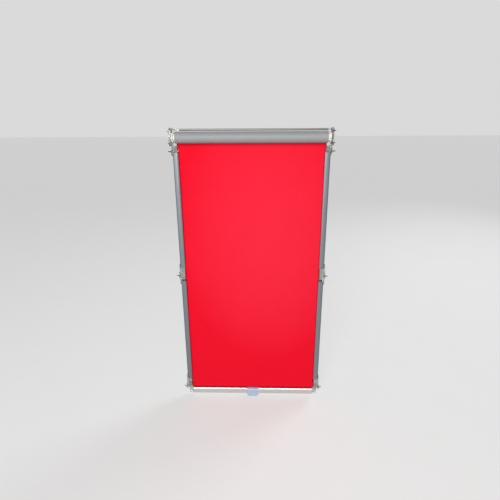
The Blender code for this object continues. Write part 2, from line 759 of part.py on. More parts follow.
def make_guide_rail(name, side, top, length, parent, material):
    """Extruded rail: the channel, with the dovetail rib that its clips grip."""
    before, after = channel_corners(side, RAIL_OUTSIDE, EDGE)
    head = DOVETAIL_NECK + DOVETAIL_FLARE
    rib = [
        (side * RAIL_OUTSIDE, CLOTH_Y - DOVETAIL_NECK, 0),
        (side * (RAIL_OUTSIDE + DOVETAIL_HEIGHT), CLOTH_Y - head, 0),
        (side * (RAIL_OUTSIDE + DOVETAIL_HEIGHT), CLOTH_Y + head, 0),
        (side * RAIL_OUTSIDE, CLOTH_Y + DOVETAIL_NECK, 0),
    ]
    rail = prism(name, "Z", outline(before + rib + after, 2), top - length, top)
    return hang(rail, parent, material)


def make_rail_clip(name, side, top, length, grip_above, grip_below, ear_z, parent, material):
    """Clear clip: a plate with an ear for its screw, jaws round the dovetail and a channel."""
    low, high = top - length - grip_below, top + grip_above
    front, back = CLOTH_Y - CLIP_TAB, CLOTH_Y + RAIL_DEPTH / 2
    neck_front = CLOTH_Y - RAIL_DEPTH / 2
    ear_low, ear_high = ear_z - CLIP_EAR / 2, ear_z + CLIP_EAR / 2
    corners = [
        (back, low, EDGE),
        (back, high, EDGE),
        (neck_front, high, EDGE),
        (neck_front, ear_high, EAR_FILLET),
        (front, ear_high, CLIP_CORNER),
        (front, ear_low, CLIP_CORNER),
        (neck_front, ear_low, EAR_FILLET),
        (neck_front, low, EDGE),
    ]
    plate_in = HALF_RECESS - CLIP_PLATE
    clip = prism(name, "X", outline(corners), side * plate_in, side * HALF_RECESS)
    floor = RAIL_OUTSIDE + DOVETAIL_HEIGHT + GAP
    neck = DOVETAIL_NECK + JAW_ROOM
    head = neck + DOVETAIL_FLARE
    jaw = RAIL_DEPTH / 2 - JAW_INSET
    jaws = [
        (plate_in + BITE, CLOTH_Y - jaw, 0),
        (CLIP_INSIDE, CLOTH_Y - jaw, 0),
        (CLIP_INSIDE, CLOTH_Y - neck, 0),
        (floor, CLOTH_Y - head, 0),
        (floor, CLOTH_Y + head, 0),
        (CLIP_INSIDE, CLOTH_Y + neck, 0),
        (CLIP_INSIDE, CLOTH_Y + jaw, 0),
        (plate_in + BITE, CLOTH_Y + jaw, 0),
    ]
    jaw_points = outline([(side * x, y, r) for x, y, r in jaws])
    join(clip, prism(f"{name}_jaws", "Z", jaw_points, low + JAW_INSET, high - JAW_INSET))
    before, after = channel_corners(side, CLIP_INSIDE + BITE, 0)
    join(clip, prism(f"{name}_channel", "Z", outline(before + after, 2), top - length, top))
    hole = circle(SCREW_RADIUS + GAP, SMALL_ROUND, (front + CLIP_CORNER, ear_z))
    hole_ends = (side * (plate_in - OVERCUT), side * (HALF_RECESS + OVERCUT))
    cut(clip, prism(f"{name}_hole", "X", hole, *hole_ends))
    make_screw(f"{name}_screw", side, CLIP_PLATE, front + CLIP_CORNER, ear_z, parent, STEEL)
    return hang(clip, parent, material)


def make_top_clip(name, side, parent, material):
    """The upper clip also closes the channel, which stops the sliders."""
    ear_z = TOP_CLIP_Z - (TOP_CLIP_LENGTH + CLIP_GRIP) / 2
    clip = make_rail_clip(
        name, side, TOP_CLIP_Z, TOP_CLIP_LENGTH, 0.0, CLIP_GRIP, ear_z, parent, material
    )
    reach = (RAIL_DEPTH - RAIL_WALL) / 2
    low = (CLOTH_WIDTH / 2 + STOP_ROOM, CLOTH_Y - reach)
    high = (RAIL_OUTSIDE, CLOTH_Y + reach)
    stop_points = [(side * x, y) for x, y in box_outline(low, high)]
    stop_ends = (TOP_CLIP_Z - TOP_CLIP_STOP, TOP_CLIP_Z - JAW_INSET)
    join(clip, prism(f"{name}_stop", "Z", stop_points, *stop_ends))
    return clip


def make_blackout_fabric(parent, material):
    """The lowered cloth: full width between roll and bar, narrower inside the bar."""
    inner_face = ROLL_RADIUS - CLOTH_THICKNESS
    top = -sqrt(inner_face**2 - (inner_face - GAP) ** 2)
    shoulder = BAR_TOP_Z + RUNNING
    hem = BAR_Z + hem_height()
    half = CLOTH_WIDTH / 2
    inside = BAR_HALF_LENGTH - HEM_INSET
    tail = hem + HEM_ROD_RADIUS + GAP + HEM_WALL / 2
    corners = [
        (-half, top), (-half, shoulder), (-inside, shoulder), (-inside, tail),
        (inside, tail), (inside, shoulder), (half, shoulder), (half, top),
    ]
    faces = (CLOTH_Y - CLOTH_THICKNESS / 2, CLOTH_Y + CLOTH_THICKNESS / 2)
    sheet = prism("blackout_fabric", "Y", corners, *faces)
    centre = (CLOTH_Y, hem)
    inner = circle(HEM_ROD_RADIUS + GAP, SMALL_ROUND, centre)
    outer = circle(HEM_ROD_RADIUS + GAP + HEM_WALL, SMALL_ROUND, centre)
    join(sheet, pipe("fabric_hem", "X", outer, inner, -inside + BITE, inside - BITE))
    return hang(sheet, parent, material)


def hem_height():
    """The hem rod's centre above the bar's middle, just below the lips of the bar's slot."""
    return BAR_HEIGHT / 2 - BAR_WALL - HEM_WALL - HEM_ROD_RADIUS - 2 * GAP


def shelf_edges():
    """The heights of the shelf under the hem's chamber: its upper and its lower face."""
    upper = hem_height() - HEM_ROD_RADIUS - HEM_WALL - 2 * GAP
    return upper, upper - BAR_SHELF


def make_hem_rod(parent, material):
    """Stiffening rod in the cloth's hem."""
    end = BAR_HALF_LENGTH - 2 * HEM_INSET
    rod = prism("hem_rod", "X", circle(HEM_ROD_RADIUS, TINY_ROUND, (0, hem_height())), -end, end)
    return hang(rod, parent, material)


def bar_edge(inset, height):
    """The bar's front and back at a height above its middle, drawn in by an inset."""
    half = BAR_HEIGHT / 2
    if height >= 0:
        front = -BAR_CREASE + BAR_TOP_SLOPE * height / half
    else:
        front = -BAR_CREASE - BAR_FOOT_SLOPE * height / half
    back = (BAR_TOP_BACK + BAR_FOOT_BACK) / 2 + (BAR_TOP_BACK - BAR_FOOT_BACK) * height / BAR_HEIGHT
    return front + inset, back - inset


def make_bar_profile(parent, material):
    """Extruded bar: hollow, creased along its front, with a slot and a chamber for the hem."""
    half = BAR_HEIGHT / 2
    slot = BAR_SLOT / 2
    ceiling = half - BAR_WALL
    ledge, shelf = shelf_edges()
    foot = -half + BAR_WALL
    corners = [
        (-slot, half, 0),
        (bar_edge(0, half)[0], half, BAR_SHOULDER),
        (bar_edge(0, 0)[0], 0.0, 0),
        (bar_edge(0, -half)[0], -half, EDGE),
        (bar_edge(0, -half)[1], -half, EDGE),
        (bar_edge(0, half)[1], half, EDGE),
        (slot, half, 0),
        (slot, ceiling, 0),
        (bar_edge(BAR_WALL, ceiling)[1], ceiling, 0),
        (bar_edge(BAR_WALL, ledge)[1], ledge, 0),
        (slot, ledge, 0),
        (slot, shelf, 0),
        (bar_edge(BAR_WALL, shelf)[1], shelf, 0),
        (bar_edge(BAR_WALL, foot)[1], foot, 0),
        (bar_edge(BAR_WALL, foot)[0], foot, 0),
        (bar_edge(BAR_WALL, 0)[0], 0.0, 0),
        (bar_edge(BAR_WALL, shelf)[0], shelf, 0),
        (-slot, shelf, 0),
        (-slot, ledge, 0),
        (bar_edge(BAR_WALL, ledge)[0], ledge, 0),
        (bar_edge(BAR_WALL, ceiling)[0], ceiling, BAR_SHOULDER - BAR_WALL),
        (-slot, ceiling, 0),
    ]
    bar = prism("bar_profile", "X", outline(corners), -BAR_HALF_LENGTH, BAR_HALF_LENGTH)
    return hang(bar, parent, material)


def make_bar_end(name, side, parent, material):
    """Clear slider: a plug in the bar, a cap, a thin neck through the rail's slot and a head."""
    half = BAR_HEIGHT / 2
    cap_start = BAR_HALF_LENGTH + GAP
    cap_end = cap_start + SLIDER_CAP
    cap_corners = [
        (bar_edge(0, half)[0], half, BAR_SHOULDER),
        (bar_edge(0, 0)[0], 0.0, 0),
        (bar_edge(0, -half)[0], -half, EDGE),
        (bar_edge(0, -half)[1], -half, EDGE),
        (bar_edge(0, half)[1], half, EDGE),
    ]
    slider = prism(name, "X", outline(cap_corners), side * cap_start, side * cap_end)
    inset = BAR_WALL + GAP
    top = shelf_edges()[1] - GAP
    foot = -half + inset
    plug_corners = [
        (bar_edge(inset, top)[0], top),
        (bar_edge(inset, 0)[0], 0.0),
        (bar_edge(inset, foot)[0], foot),
        (bar_edge(inset, foot)[1], foot),
        (bar_edge(inset, top)[1], top),
    ]
    plug_end = cap_start - GAP - SLIDER_PLUG
    join(slider, prism(f"{name}_plug", "X", plug_corners, side * plug_end, side * (cap_start + BITE)))
    neck = SLIDER_NECK / 2
    head_start = CLOTH_WIDTH / 2 + RUNNING
    neck_points = box_outline((-neck, NECK_INSET - SLIDER_HEAD_BOTTOM), (neck, half - NECK_INSET))
    neck_ends = (side * (cap_end - BITE), side * (head_start + BITE))
    join(slider, prism(f"{name}_neck", "X", neck_points, *neck_ends))
    deep = SLIDER_HEAD_DEPTH / 2
    web = RAIL_WEB - RUNNING
    floor = web - BRAKE_POCKET
    head_corners = [
        (head_start, -SLIDER_HEAD_BOTTOM, EDGE),
        (web, -SLIDER_HEAD_BOTTOM, EDGE),
        (web, -SLIDER_HEAD_BOTTOM + SLIDER_RIDGE, 0),
        (floor, -SLIDER_HEAD_BOTTOM + SLIDER_RIDGE, 0),
        (floor, SLIDER_HEAD_TOP - SLIDER_RIDGE, 0),
        (web, SLIDER_HEAD_TOP - SLIDER_RIDGE, 0),
        (web, SLIDER_HEAD_TOP, EDGE),
        (head_start, SLIDER_HEAD_TOP, EDGE),
    ]
    head_points = [(side * x, z) for x, z in outline(head_corners, 2)]
    join(slider, prism(f"{name}_head", "Y", head_points, -deep, deep))
    return hang(slider, parent, material)


def make_brake_spring(name, side, parent, material):
    """Bowed steel strip between the slider's ridges, which presses on the rail's web."""
    low = -SLIDER_HEAD_BOTTOM + SLIDER_RIDGE + GAP
    high = SLIDER_HEAD_TOP - SLIDER_RIDGE - GAP
    foot = RAIL_WEB - RUNNING - BRAKE_POCKET + GAP
    rise = RAIL_WEB - GAP - BRAKE_STRIP - foot
    steps = 10
    inner = []
    outer = []
    for i in range(steps + 1):
        share = i / steps
        x = foot + rise * sin(pi * share)
        z = low + (high - low) * share
        inner.append((side * x, z))
        outer.append((side * (x + BRAKE_STRIP), z))
    points = inner + outer[::-1]
    return hang(prism(name, "Y", points, -BRAKE_HALF_WIDTH, BRAKE_HALF_WIDTH), parent, material)


def make_pull_tab(parent, material):
    """D-shaped tab with a raised rim, on a clip that snaps over the bar."""
    half = BAR_HEIGHT / 2
    top = half + TAB_ABOVE_BAR
    slot_side = -BAR_SLOT / 2 - GAP
    under = -half - GAP - TAB_CLIP_WALL
    wall = -BAR_CREASE - GAP - TAB_CLIP_WALL
    clip_corners = [
        (bar_edge(-GAP, -half)[0], -half - GAP, 0),
        (bar_edge(-GAP, 0)[0], 0.0, 0),
        (bar_edge(-GAP, half)[0], half + GAP, BAR_SHOULDER),
        (slot_side, half + GAP, 0),
        (slot_side, top, 0),
        (wall, top, 0),
        (wall, under, 0),
        (0.0, under, 0),
        (0.0, -half - GAP, 0),
    ]
    tab = prism("pull_tab", "X", outline(clip_corners), -TAB_CLIP_WIDTH / 2, TAB_CLIP_WIDTH / 2)
    plate_back = wall + BITE
    outer = tab_outline(0.0)
    inner = tab_outline(TAB_RIM)

    def leaning(points, depth):
        return [(x, plate_back - depth - TAB_TILT * (top - z), z) for x, z in points]

    plate = loft("pull_tab_plate", [leaning(outer, 0.0), leaning(outer, TAB_THICKNESS)])
    join(tab, plate)
    levels = (TAB_THICKNESS - BITE, TAB_THICKNESS + TAB_RIM_HEIGHT)
    rows = [leaning(outer, level) for level in levels]
    rows += [leaning(inner, level) for level in reversed(levels)]
    join(tab, loft("pull_tab_rim", rows, ring=True))
    return hang(tab, parent, material)


def tab_outline(inset):
    """A D on its side: straight along the top, then half of a full ellipse below."""
    half = BAR_HEIGHT / 2
    top = half + TAB_ABOVE_BAR - inset
    foot = -half - TAB_BELOW_BAR + inset
    wide = TAB_WIDTH / 2 - inset
    spring_line = top - TAB_STRAIGHT + inset
    steps = 20
    points = []
    for i in range(steps + 1):
        turn = pi * i / steps
        aside = copysign(abs(cos(turn)) ** TAB_FULLNESS, -cos(turn))
        down = sin(turn) ** TAB_FULLNESS
        points.append((wide * aside, spring_line - (spring_line - foot) * down))
    shoulder = top - TAB_CORNER
    across = wide - TAB_CORNER
    points += [(wide, shoulder), (across, top), (-across, top), (-wide, shoulder)]
    return points


clear_scene()

CLEAR = finish("clear_plastic", (0.86, 0.88, 0.88), 0.12, alpha=0.45)
SILVER = finish("anodised_aluminium", (0.66, 0.68, 0.72), 0.32, metallic=1.0)
MILL = finish("mill_aluminium", (0.62, 0.63, 0.65), 0.40, metallic=1.0)
WHITE = finish("white_plastic", (0.90, 0.90, 0.87), 0.38)
CREAM = finish("cream_plastic", (0.84, 0.82, 0.70), 0.45)
STEEL = finish("zinc_plated_steel", (0.60, 0.61, 0.62), 0.30, metallic=1.0)
SPRING = finish("spring_steel", (0.34, 0.35, 0.37), 0.38, metallic=1.0)
RED = finish("red_blackout_cloth", (0.90, 0.012, 0.035), 0.85)
BACKING = finish("grey_cloth_backing", (0.42, 0.42, 0.43), 0.60)
TAB = finish("pale_blue_plastic", (0.40, 0.52, 0.66), 0.35)

BLIND = empty("blind_reference", (0.0, -MIDDLE_Y, -MIDDLE_Z))
ROLLER_AXIS = empty("roller_axis", (0.0, 0.0, 0.0), BLIND)
PIN_AXIS = empty("idle_pin_axis", (0.0, 0.0, 0.0), ROLLER_AXIS)
BAR = empty("bottom_bar_centre", (0.0, CLOTH_Y, BAR_Z), BLIND)

SIDES = (("left", -1), ("right", 1))

for word, way in SIDES:
    make_bracket(f"bracket_{word}", way, BLIND, CLEAR)
    for place, height in zip(("lower", "upper"), screw_heights()):
        make_screw(f"bracket_screw_{place}_{word}", way, SCREW_SEAT, 0.0, height, BLIND, STEEL)
    make_top_clip(f"rail_top_clip_{word}", way, BLIND, CLEAR)
    make_rail_clip(
        f"rail_connector_{word}", way, CONNECTOR_Z, CONNECTOR_LENGTH, CLIP_GRIP, CLIP_GRIP,
        CONNECTOR_Z - CONNECTOR_LENGTH / 2, BLIND, CLEAR
    )
    make_rail_clip(
        f"rail_holder_{word}", way, HOLDER_Z, HOLDER_LENGTH, CLIP_GRIP, 0.0,
        HOLDER_FOOT_Z + EDGE + EAR_FILLET + CLIP_EAR / 2, BLIND, CLEAR
    )
    make_guide_rail(f"guide_rail_upper_{word}", way, UPPER_RAIL_Z, UPPER_RAIL_LENGTH, BLIND, SILVER)
    make_guide_rail(f"guide_rail_lower_{word}", way, LOWER_RAIL_Z, LOWER_RAIL_LENGTH, BLIND, SILVER)
    make_bar_end(f"bar_slider_{word}", way, BAR, CLEAR)
    make_brake_spring(f"brake_spring_{word}", way, BAR, SPRING)

make_head_profile(BLIND, SILVER)
make_head_cap("head_cap_left", -1, HEAD_LEFT, BLIND, CLEAR)
make_head_cap("head_cap_right", 1, HEAD_RIGHT, BLIND, CLEAR)

make_spindle(BLIND, STEEL)
make_spring_anchor(BLIND, CREAM)
make_torsion_spring(BLIND, SPRING)
make_blackout_fabric(BLIND, RED)

make_roller_tube(ROLLER_AXIS, MILL)
make_fabric_spline(ROLLER_AXIS, WHITE)
make_fabric_roll(ROLLER_AXIS, BACKING)
make_spring_plug(ROLLER_AXIS, WHITE)
make_drive_plug(ROLLER_AXIS, CREAM)
make_idle_plug(ROLLER_AXIS, WHITE)
make_idle_plug_cap(ROLLER_AXIS, CREAM)
make_idle_pin_spring(ROLLER_AXIS, SPRING)
make_idle_pin(PIN_AXIS, STEEL)

make_bar_profile(BAR, SILVER)
make_hem_rod(BAR, WHITE)
make_pull_tab(BAR, TAB)
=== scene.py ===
"""Blackout roller blind, lowered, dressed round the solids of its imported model.

Everything is in metres: X across the blind, Y from its front to its back, Z up. Each new piece
is a surface worked out with numpy, and each finish is a tree of nodes on Object or UV places.
"""

import json
import math

import bmesh
import bpy
import numpy as np
from mathutils import Matrix, Vector


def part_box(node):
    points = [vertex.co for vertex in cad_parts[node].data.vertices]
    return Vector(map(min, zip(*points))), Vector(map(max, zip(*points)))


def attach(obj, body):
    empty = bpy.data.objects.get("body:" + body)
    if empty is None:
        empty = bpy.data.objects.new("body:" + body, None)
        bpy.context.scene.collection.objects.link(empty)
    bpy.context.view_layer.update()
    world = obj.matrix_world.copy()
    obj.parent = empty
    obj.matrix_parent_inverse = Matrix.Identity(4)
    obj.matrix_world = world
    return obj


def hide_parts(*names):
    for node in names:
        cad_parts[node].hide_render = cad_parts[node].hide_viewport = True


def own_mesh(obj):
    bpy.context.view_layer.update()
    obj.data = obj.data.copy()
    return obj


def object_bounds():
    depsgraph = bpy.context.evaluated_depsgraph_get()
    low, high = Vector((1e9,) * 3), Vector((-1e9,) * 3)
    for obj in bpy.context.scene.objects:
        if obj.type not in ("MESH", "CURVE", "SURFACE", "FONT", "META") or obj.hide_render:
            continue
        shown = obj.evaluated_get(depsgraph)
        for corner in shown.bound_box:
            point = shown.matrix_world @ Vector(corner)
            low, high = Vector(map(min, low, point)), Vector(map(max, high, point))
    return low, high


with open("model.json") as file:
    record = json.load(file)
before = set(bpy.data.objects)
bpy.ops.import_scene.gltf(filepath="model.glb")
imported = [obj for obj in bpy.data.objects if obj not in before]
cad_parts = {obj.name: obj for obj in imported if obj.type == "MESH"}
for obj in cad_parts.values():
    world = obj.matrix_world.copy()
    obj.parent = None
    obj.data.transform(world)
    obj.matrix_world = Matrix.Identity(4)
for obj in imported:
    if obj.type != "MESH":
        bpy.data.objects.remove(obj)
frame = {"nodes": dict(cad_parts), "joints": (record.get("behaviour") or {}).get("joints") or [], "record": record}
cad_low, cad_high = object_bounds()

# Places and sizes that the solids and their joints give
JOINTS = {joint["name"]: joint for joint in frame["joints"]}
AXIS_Y, AXIS_Z = JOINTS["roller_spin"]["pos_m"][1:]
TUBE_END = round(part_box("roller_tube")[1][0], 6)
ROLL_RADIUS = round(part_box("fabric_roll")[1][1] - AXIS_Y, 4)
BAR_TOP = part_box("bar_profile")[1][2]
SIDES = ("left", "right")

# The cloth: a turn of the roll adds its pitch, and its foot ends inside the bar's slot
CLOTH_PITCH = 0.00045
CLOTH_THICK = 0.00043
INNER_TURN_RADIUS = 0.01268
FOOT_IN_SLOT = 0.0004
HEM_PAST_ROD = 0.0015
CLOTH_Y = AXIS_Y + ROLL_RADIUS - CLOTH_PITCH / 2
CLOTH_FOOT = BAR_TOP - FOOT_IN_SLOT
CLOTH_HALF = TUBE_END
CLOTH_HANG = AXIS_Z - CLOTH_FOOT
HEM_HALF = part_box("hem_rod")[1][0] + HEM_PAST_ROD

# Angles in radians above which an edge is eased, or stays sharp in the shading
EASED_ANGLE = 0.5
SHARP_ANGLE = 0.6
SCREW_SHARP_ANGLE = 0.7

# In copies of the solids: points this near are one, and edges this flat are dissolved
MERGE_REACH = 0.000002
FLAT_ANGLE = 0.01


def middle(node):
    """The middle of a node's box."""
    low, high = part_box(node)
    return (Vector(low) + Vector(high)) / 2


def body_of_node(node):
    """The body whose list names the node."""
    for body, nodes in frame["record"]["behaviour"]["bodies"].items():
        if node in nodes:
            return body
    raise ValueError(node)


# Shader maths: an expression on wires adds the nodes that work it out


class Wire:
    """One output socket. Numbers go through Math nodes, vectors through Vector Math nodes."""

    def __init__(self, nodes, socket):
        self.nodes, self.socket = nodes, socket
        self.vector = socket.type in ("VECTOR", "RGBA")

    def maths(self, operation, *values):
        """The operation on values, the wire itself among them."""
        whole = any(getattr(value, "vector", False) for value in values)
        kind = "VectorMath" if whole else "Math"
        ends = [(value,) * 3 if whole and isinstance(value, (int, float)) else value
                for value in values]
        return self.nodes.node(kind, {"operation": operation}, dict(enumerate(ends)))

    def __add__(self, other):
        return self.maths("ADD", self, other)

    def __sub__(self, other):
        return self.maths("SUBTRACT", self, other)

    def __rsub__(self, other):
        return self.maths("SUBTRACT", other, self)

    def __mul__(self, other):
        return self.maths("MULTIPLY", self, other)

    def __truediv__(self, other):
        return self.maths("DIVIDE", self, other)

    def __rtruediv__(self, other):
        return self.maths("DIVIDE", other, self)

    __radd__ = __add__
    __rmul__ = __mul__

    def sine(self):
        return self.maths("SINE", self)

    def size(self):
        return self.maths("ABSOLUTE", self)

    def highest(self, other):
        return self.maths("MAXIMUM", self, other)

    def held(self):
        """The value held between 0 and 1."""
        raised = self.highest(0.0)
        return raised.maths("MINIMUM", raised, 1.0)

    def parts(self):
        """The x, y and z of a vector."""
        made = self.nodes.node("SeparateXYZ", {}, {0: self})
        return [Wire(self.nodes, output) for output in made.socket.node.outputs]


class Nodes:
    """A node tree, with the one method that makes its nodes."""

    def __init__(self, tree):
        self.tree = tree

    def node(self, kind, settings=None, sockets=None, output=0):
        """Adds a node: its settings first, then the value or the wire of each socket."""
        made = self.tree.nodes.new("ShaderNode" + kind)
        for word, value in (settings or {}).items():
            setattr(made, word, value)
        for key, value in (sockets or {}).items():
            self.join(made.inputs[key], value)
        return Wire(self, made.outputs[output])

    def join(self, socket, value):
        """Links a wire to a socket, or sets the socket to a plain value."""
        if isinstance(value, Wire):
            self.tree.links.new(value.socket, socket)
        elif socket.type == "RGBA" and len(value) == 3:
            socket.default_value = (*value, 1.0)
        else:
            socket.default_value = value

    def looked_at(self):
        """1 where the camera, gloss or clear plastic looks at it, and 0 for all other light."""
        rays = [self.node("LightPath", {}, {}, word)
                for word in ("Is Camera Ray", "Is Glossy Ray", "Is Transmission Ray")]
        return rays[0].highest(rays[1]).highest(rays[2])


class Finish(Nodes):
    """A material, with the patterns that its finish is made of."""

    def __init__(self, name, roughness=0.5, metallic=0.0, **constants):
        self.material = bpy.data.materials.new(name)
        self.material.use_nodes = True
        super().__init__(self.material.node_tree)
        self.shader = self.tree.nodes["Principled BSDF"]
        self.set("Roughness", roughness)
        self.set("Metallic", metallic)
        for word, value in constants.items():
            self.set(word.replace("_", " "), value)

    def set(self, word, value):
        """Sets or links one of the shader's own sockets."""
        self.join(self.shader.inputs[word], value)

    def place(self):
        """Object coordinates, in metres."""
        return self.node("TexCoord", {}, {}, "Object")

    def uv(self):
        """The piece's own map, in metres: the way across the cloth and the way along it."""
        return self.node("UVMap", {"uv_map": "UVMap"}).parts()[:2]

    def noise(self, place, scale, detail=3.0, roughness=0.5, stretch=None):
        """Soft noise from 0 to 1. A stretch of (x, y, z) scales the pattern each way."""
        if stretch:
            place = self.node("Mapping", {}, {"Vector": place, "Scale": stretch})
        ends = {"Vector": place, "Scale": scale, "Detail": detail, "Roughness": roughness}
        return self.node("TexNoise", {}, ends)

    def mix(self, share, first, second):
        """The first colour turning into the second as share goes from 0 to 1."""
        settings = {"data_type": "RGBA", "clamp_factor": True}
        return self.node("Mix", settings, {0: share, 6: first, 7: second}, 2)

    def shade(self, colour, factor):
        """A colour made lighter or darker by a number that varies."""
        grey = self.node("CombineXYZ", {}, {0: factor, 1: factor, 2: factor})
        return grey * colour

    def bump(self, height, distance, strength=1.0):
        """Feeds a height into the shader's normal."""
        ends = {"Height": height, "Distance": distance, "Strength": strength}
        self.set("Normal", self.node("Bump", {}, ends))


def span(value, low, high):
    """A wire's range from low to high, made 0 to 1 and held there beyond it."""
    return ((value - low) / (high - low)).held()


# Finishes

RED = (0.905, 0.0036, 0.0225)
# The paler red is a painted sheen, laid over the middle of the cloth.
SHEEN_RED = (0.950, 0.0205, 0.0510)
GREY_BACK = (0.335, 0.34, 0.345)
CUT_RED, CUT_GREY = (0.55, 0.02, 0.035), (0.30, 0.24, 0.25)
RAIL_SILVER = (0.23, 0.255, 0.28)
BRIGHT_SILVER = (0.67, 0.665, 0.64)
# Painted shade: the head profile's aluminium is made far darker than the bar's and the rails'.
HEAD_SHADED_SILVER = (0.12, 0.12, 0.115)
THREAD = 0.00042

# Middle of the painted sheen, a paler oval standing in for a broad highlight, across and down the cloth, and the
# half size of that oval
SHEEN_OVAL_MIDDLE = (0.045, 0.26)
SHEEN_OVAL_HALF = (0.244, 0.37)

# Bands of painted shade on the cloth, as the places where each begins and where it is full: a painted shadow just
# above the bar, then painted shade along the edges beside the rails
BAR_SHADOW_BAND = (CLOTH_HANG - 0.0042, CLOTH_HANG - 0.0022)
# Painted shade along the cloth's edges beside the rails.
RAIL_SHADE_BAND = (CLOTH_HALF - 0.0062, CLOTH_HALF - 0.0034)


def weave(along, across):
    """Height of a plain weave: rounded threads that pass over and under each other."""
    warp = (across * (math.pi / THREAD)).sine()
    weft = (along * (math.pi / THREAD)).sine()
    over = span(warp * weft, -0.25, 0.25)
    return warp.size() * over + weft.size() * (1.0 - over)


def red_cloth():
    """Front of the cloth: red polyester, finely woven, with faint cloudy shading.

    It is a little paler in an oval, a painted sheen standing in for a broad highlight: share =
    1 - (way across from the oval's middle / half its width)^2 - (way down from it / half its height)^2.
    It is darker in painted shade along its edges beside the rails, and in a painted shadow just above the bar.
    """
    cloth = Finish("red_blackout_cloth", 0.82, Sheen_Weight=0.03, Sheen_Roughness=0.5)
    cloth.set("Sheen Tint", (1.0, 0.3, 0.35))
    cloth.set("Specular IOR Level", 0.12)
    across, along = cloth.uv()
    place = cloth.place()
    clouds = cloth.noise(place, 16.0, detail=2.0, stretch=(1.0, 1.0, 0.8))
    slubs = cloth.noise(place, 260.0, 2.0, 0.6, stretch=(0.25, 1.0, 1.0))
    cross_slubs = cloth.noise(place, 260.0, 2.0, 0.6, stretch=(1.0, 1.0, 0.2))
    height = weave(along, across)
    tone = 0.965 + clouds * 0.03 + (slubs + cross_slubs) * 0.04 - (1.0 - height) * 0.06
    # Painted shadow: the cloth's tone is darkened just above the bar.
    painted_bar_shadow = span(along, *BAR_SHADOW_BAND)
    # Painted shade: the cloth's tone is darkened along its edges beside the rails.
    painted_rail_shade = span(across.size(), *RAIL_SHADE_BAND)
    tone = tone * (1.0 - painted_bar_shadow * 0.55) * (1.0 - painted_rail_shade * 0.30)
    # Painted sheen: the red turns paler in an oval over the middle of the cloth, standing in for a broad
    # highlight.
    beside = (across - SHEEN_OVAL_MIDDLE[0]) / SHEEN_OVAL_HALF[0]
    below = (along - SHEEN_OVAL_MIDDLE[1]) / SHEEN_OVAL_HALF[1]
    painted_sheen = (1.0 - beside * beside - below * below + (clouds - 0.5) * 0.15).held()
    cloth.set("Base Color", cloth.shade(cloth.mix(painted_sheen, RED, SHEEN_RED), tone))
    cloth.set("Roughness", 0.78 + (1.0 - height) * 0.12)
    cloth.bump(height + slubs * 0.5, 0.00006, 0.5)
    return cloth.material


def grey_backing():
    """Back of the cloth: a grey coating that keeps the threads' relief."""
    back = Finish("grey_cloth_backing", 0.52)
    back.set("Specular IOR Level", 0.40)
    across, along = back.uv()
    place = back.place()
    height = weave(along, across)
    bands = back.noise(place, 30.0, 3.0, 0.55, stretch=(0.3, 1.0, 1.0))
    specks = back.noise(place, 900.0, 2.0, 0.6)
    tone = 0.90 + bands * 0.16 + specks * 0.05 - (1.0 - height) * 0.05
    back.set("Base Color", back.shade(GREY_BACK, tone))
    back.set("Roughness", 0.44 + bands * 0.16)
    back.bump(height + specks * 0.3, 0.00004, 0.4)
    return back.material


def cut_edge():
    """The cloth's cut edge, where the red threads and the grey coating both show."""
    edge = Finish("cloth_cut_edge", 0.85)
    fibres = edge.noise(edge.place(), 2400.0, 3.0, 0.7)
    edge.set("Base Color", edge.mix(span(fibres, 0.4, 0.6), CUT_RED, CUT_GREY))
    edge.bump(fibres, 0.0001, 0.6)
    return edge.material


def drawn_metal(name, colour, roughness, way, grain=1.0):
    """Metal with the fine lines of its drawing along one way, and duller handled patches."""
    metal = Finish(name, roughness, 1.0)
    place = metal.place()
    stretch = [1.0, 1.0, 1.0]
    stretch[way] = 0.012
    lines = metal.noise(place, 2600.0, 3.0, 0.6, stretch)
    patches = metal.noise(place, 42.0, 3.0, 0.55)
    wear = span(metal.noise(place, 300.0, 4.0, 0.65), 0.62, 0.78)
    tone = 0.93 + lines * 0.10 + patches * 0.06 - wear * 0.05
    metal.set("Base Color", metal.shade(colour, tone))
    metal.set("Roughness", roughness - 0.06 + lines * 0.10 + patches * 0.08 + wear * 0.08)
    metal.bump(lines, 0.00003, 0.35 * grain)
    return metal.material


def moulded(name, colour, roughness, mottle=0.04, coat=0.0):
    """Opaque moulded plastic: a fine spark-eroded grain, flow shading and a few scuffs."""
    plastic = Finish(name, roughness, Coat_Weight=coat, Coat_Roughness=0.12)
    plastic.set("Subsurface Weight", 0.06)
    plastic.set("Subsurface Radius", (0.002, 0.002, 0.002))
    place = plastic.place()
    grain = plastic.noise(place, 4200.0, 2.0, 0.6)
    flow = plastic.noise(place, 75.0)
    scuffed = span(plastic.noise(place, 700.0, 4.0, 0.7, (0.15, 1.0, 1.0)), 0.64, 0.76)
    tone = 1.0 - mottle + flow * mottle * 2 - scuffed * 0.04
    plastic.set("Base Color", plastic.shade(colour, tone))
    plastic.set("Roughness", roughness - 0.05 + flow * 0.10 + scuffed * 0.12)
    plastic.bump(grain + scuffed * 0.4, 0.00002, 0.5)
    return plastic.material


def clear_plastic():
    """Clear polycarbonate with a faint green-grey cast, flow lines and fine scratches."""
    clear = Finish("clear_plastic", 0.10, Transmission_Weight=1.0, IOR=1.50)
    place = clear.place()
    flow = clear.noise(place, 55.0)
    scratched = span(clear.noise(place, 900.0, 4.0, 0.7, (1.0, 0.2, 1.0)), 0.62, 0.74)
    clear.set("Base Color", clear.mix(flow, (0.56, 0.58, 0.55), (0.72, 0.73, 0.72)))
    clear.set("Roughness", 0.05 + flow * 0.06 + scratched * 0.15)
    clear.bump(flow * 1.5 + scratched * 0.5, 0.00004, 0.5)
    return clear.material


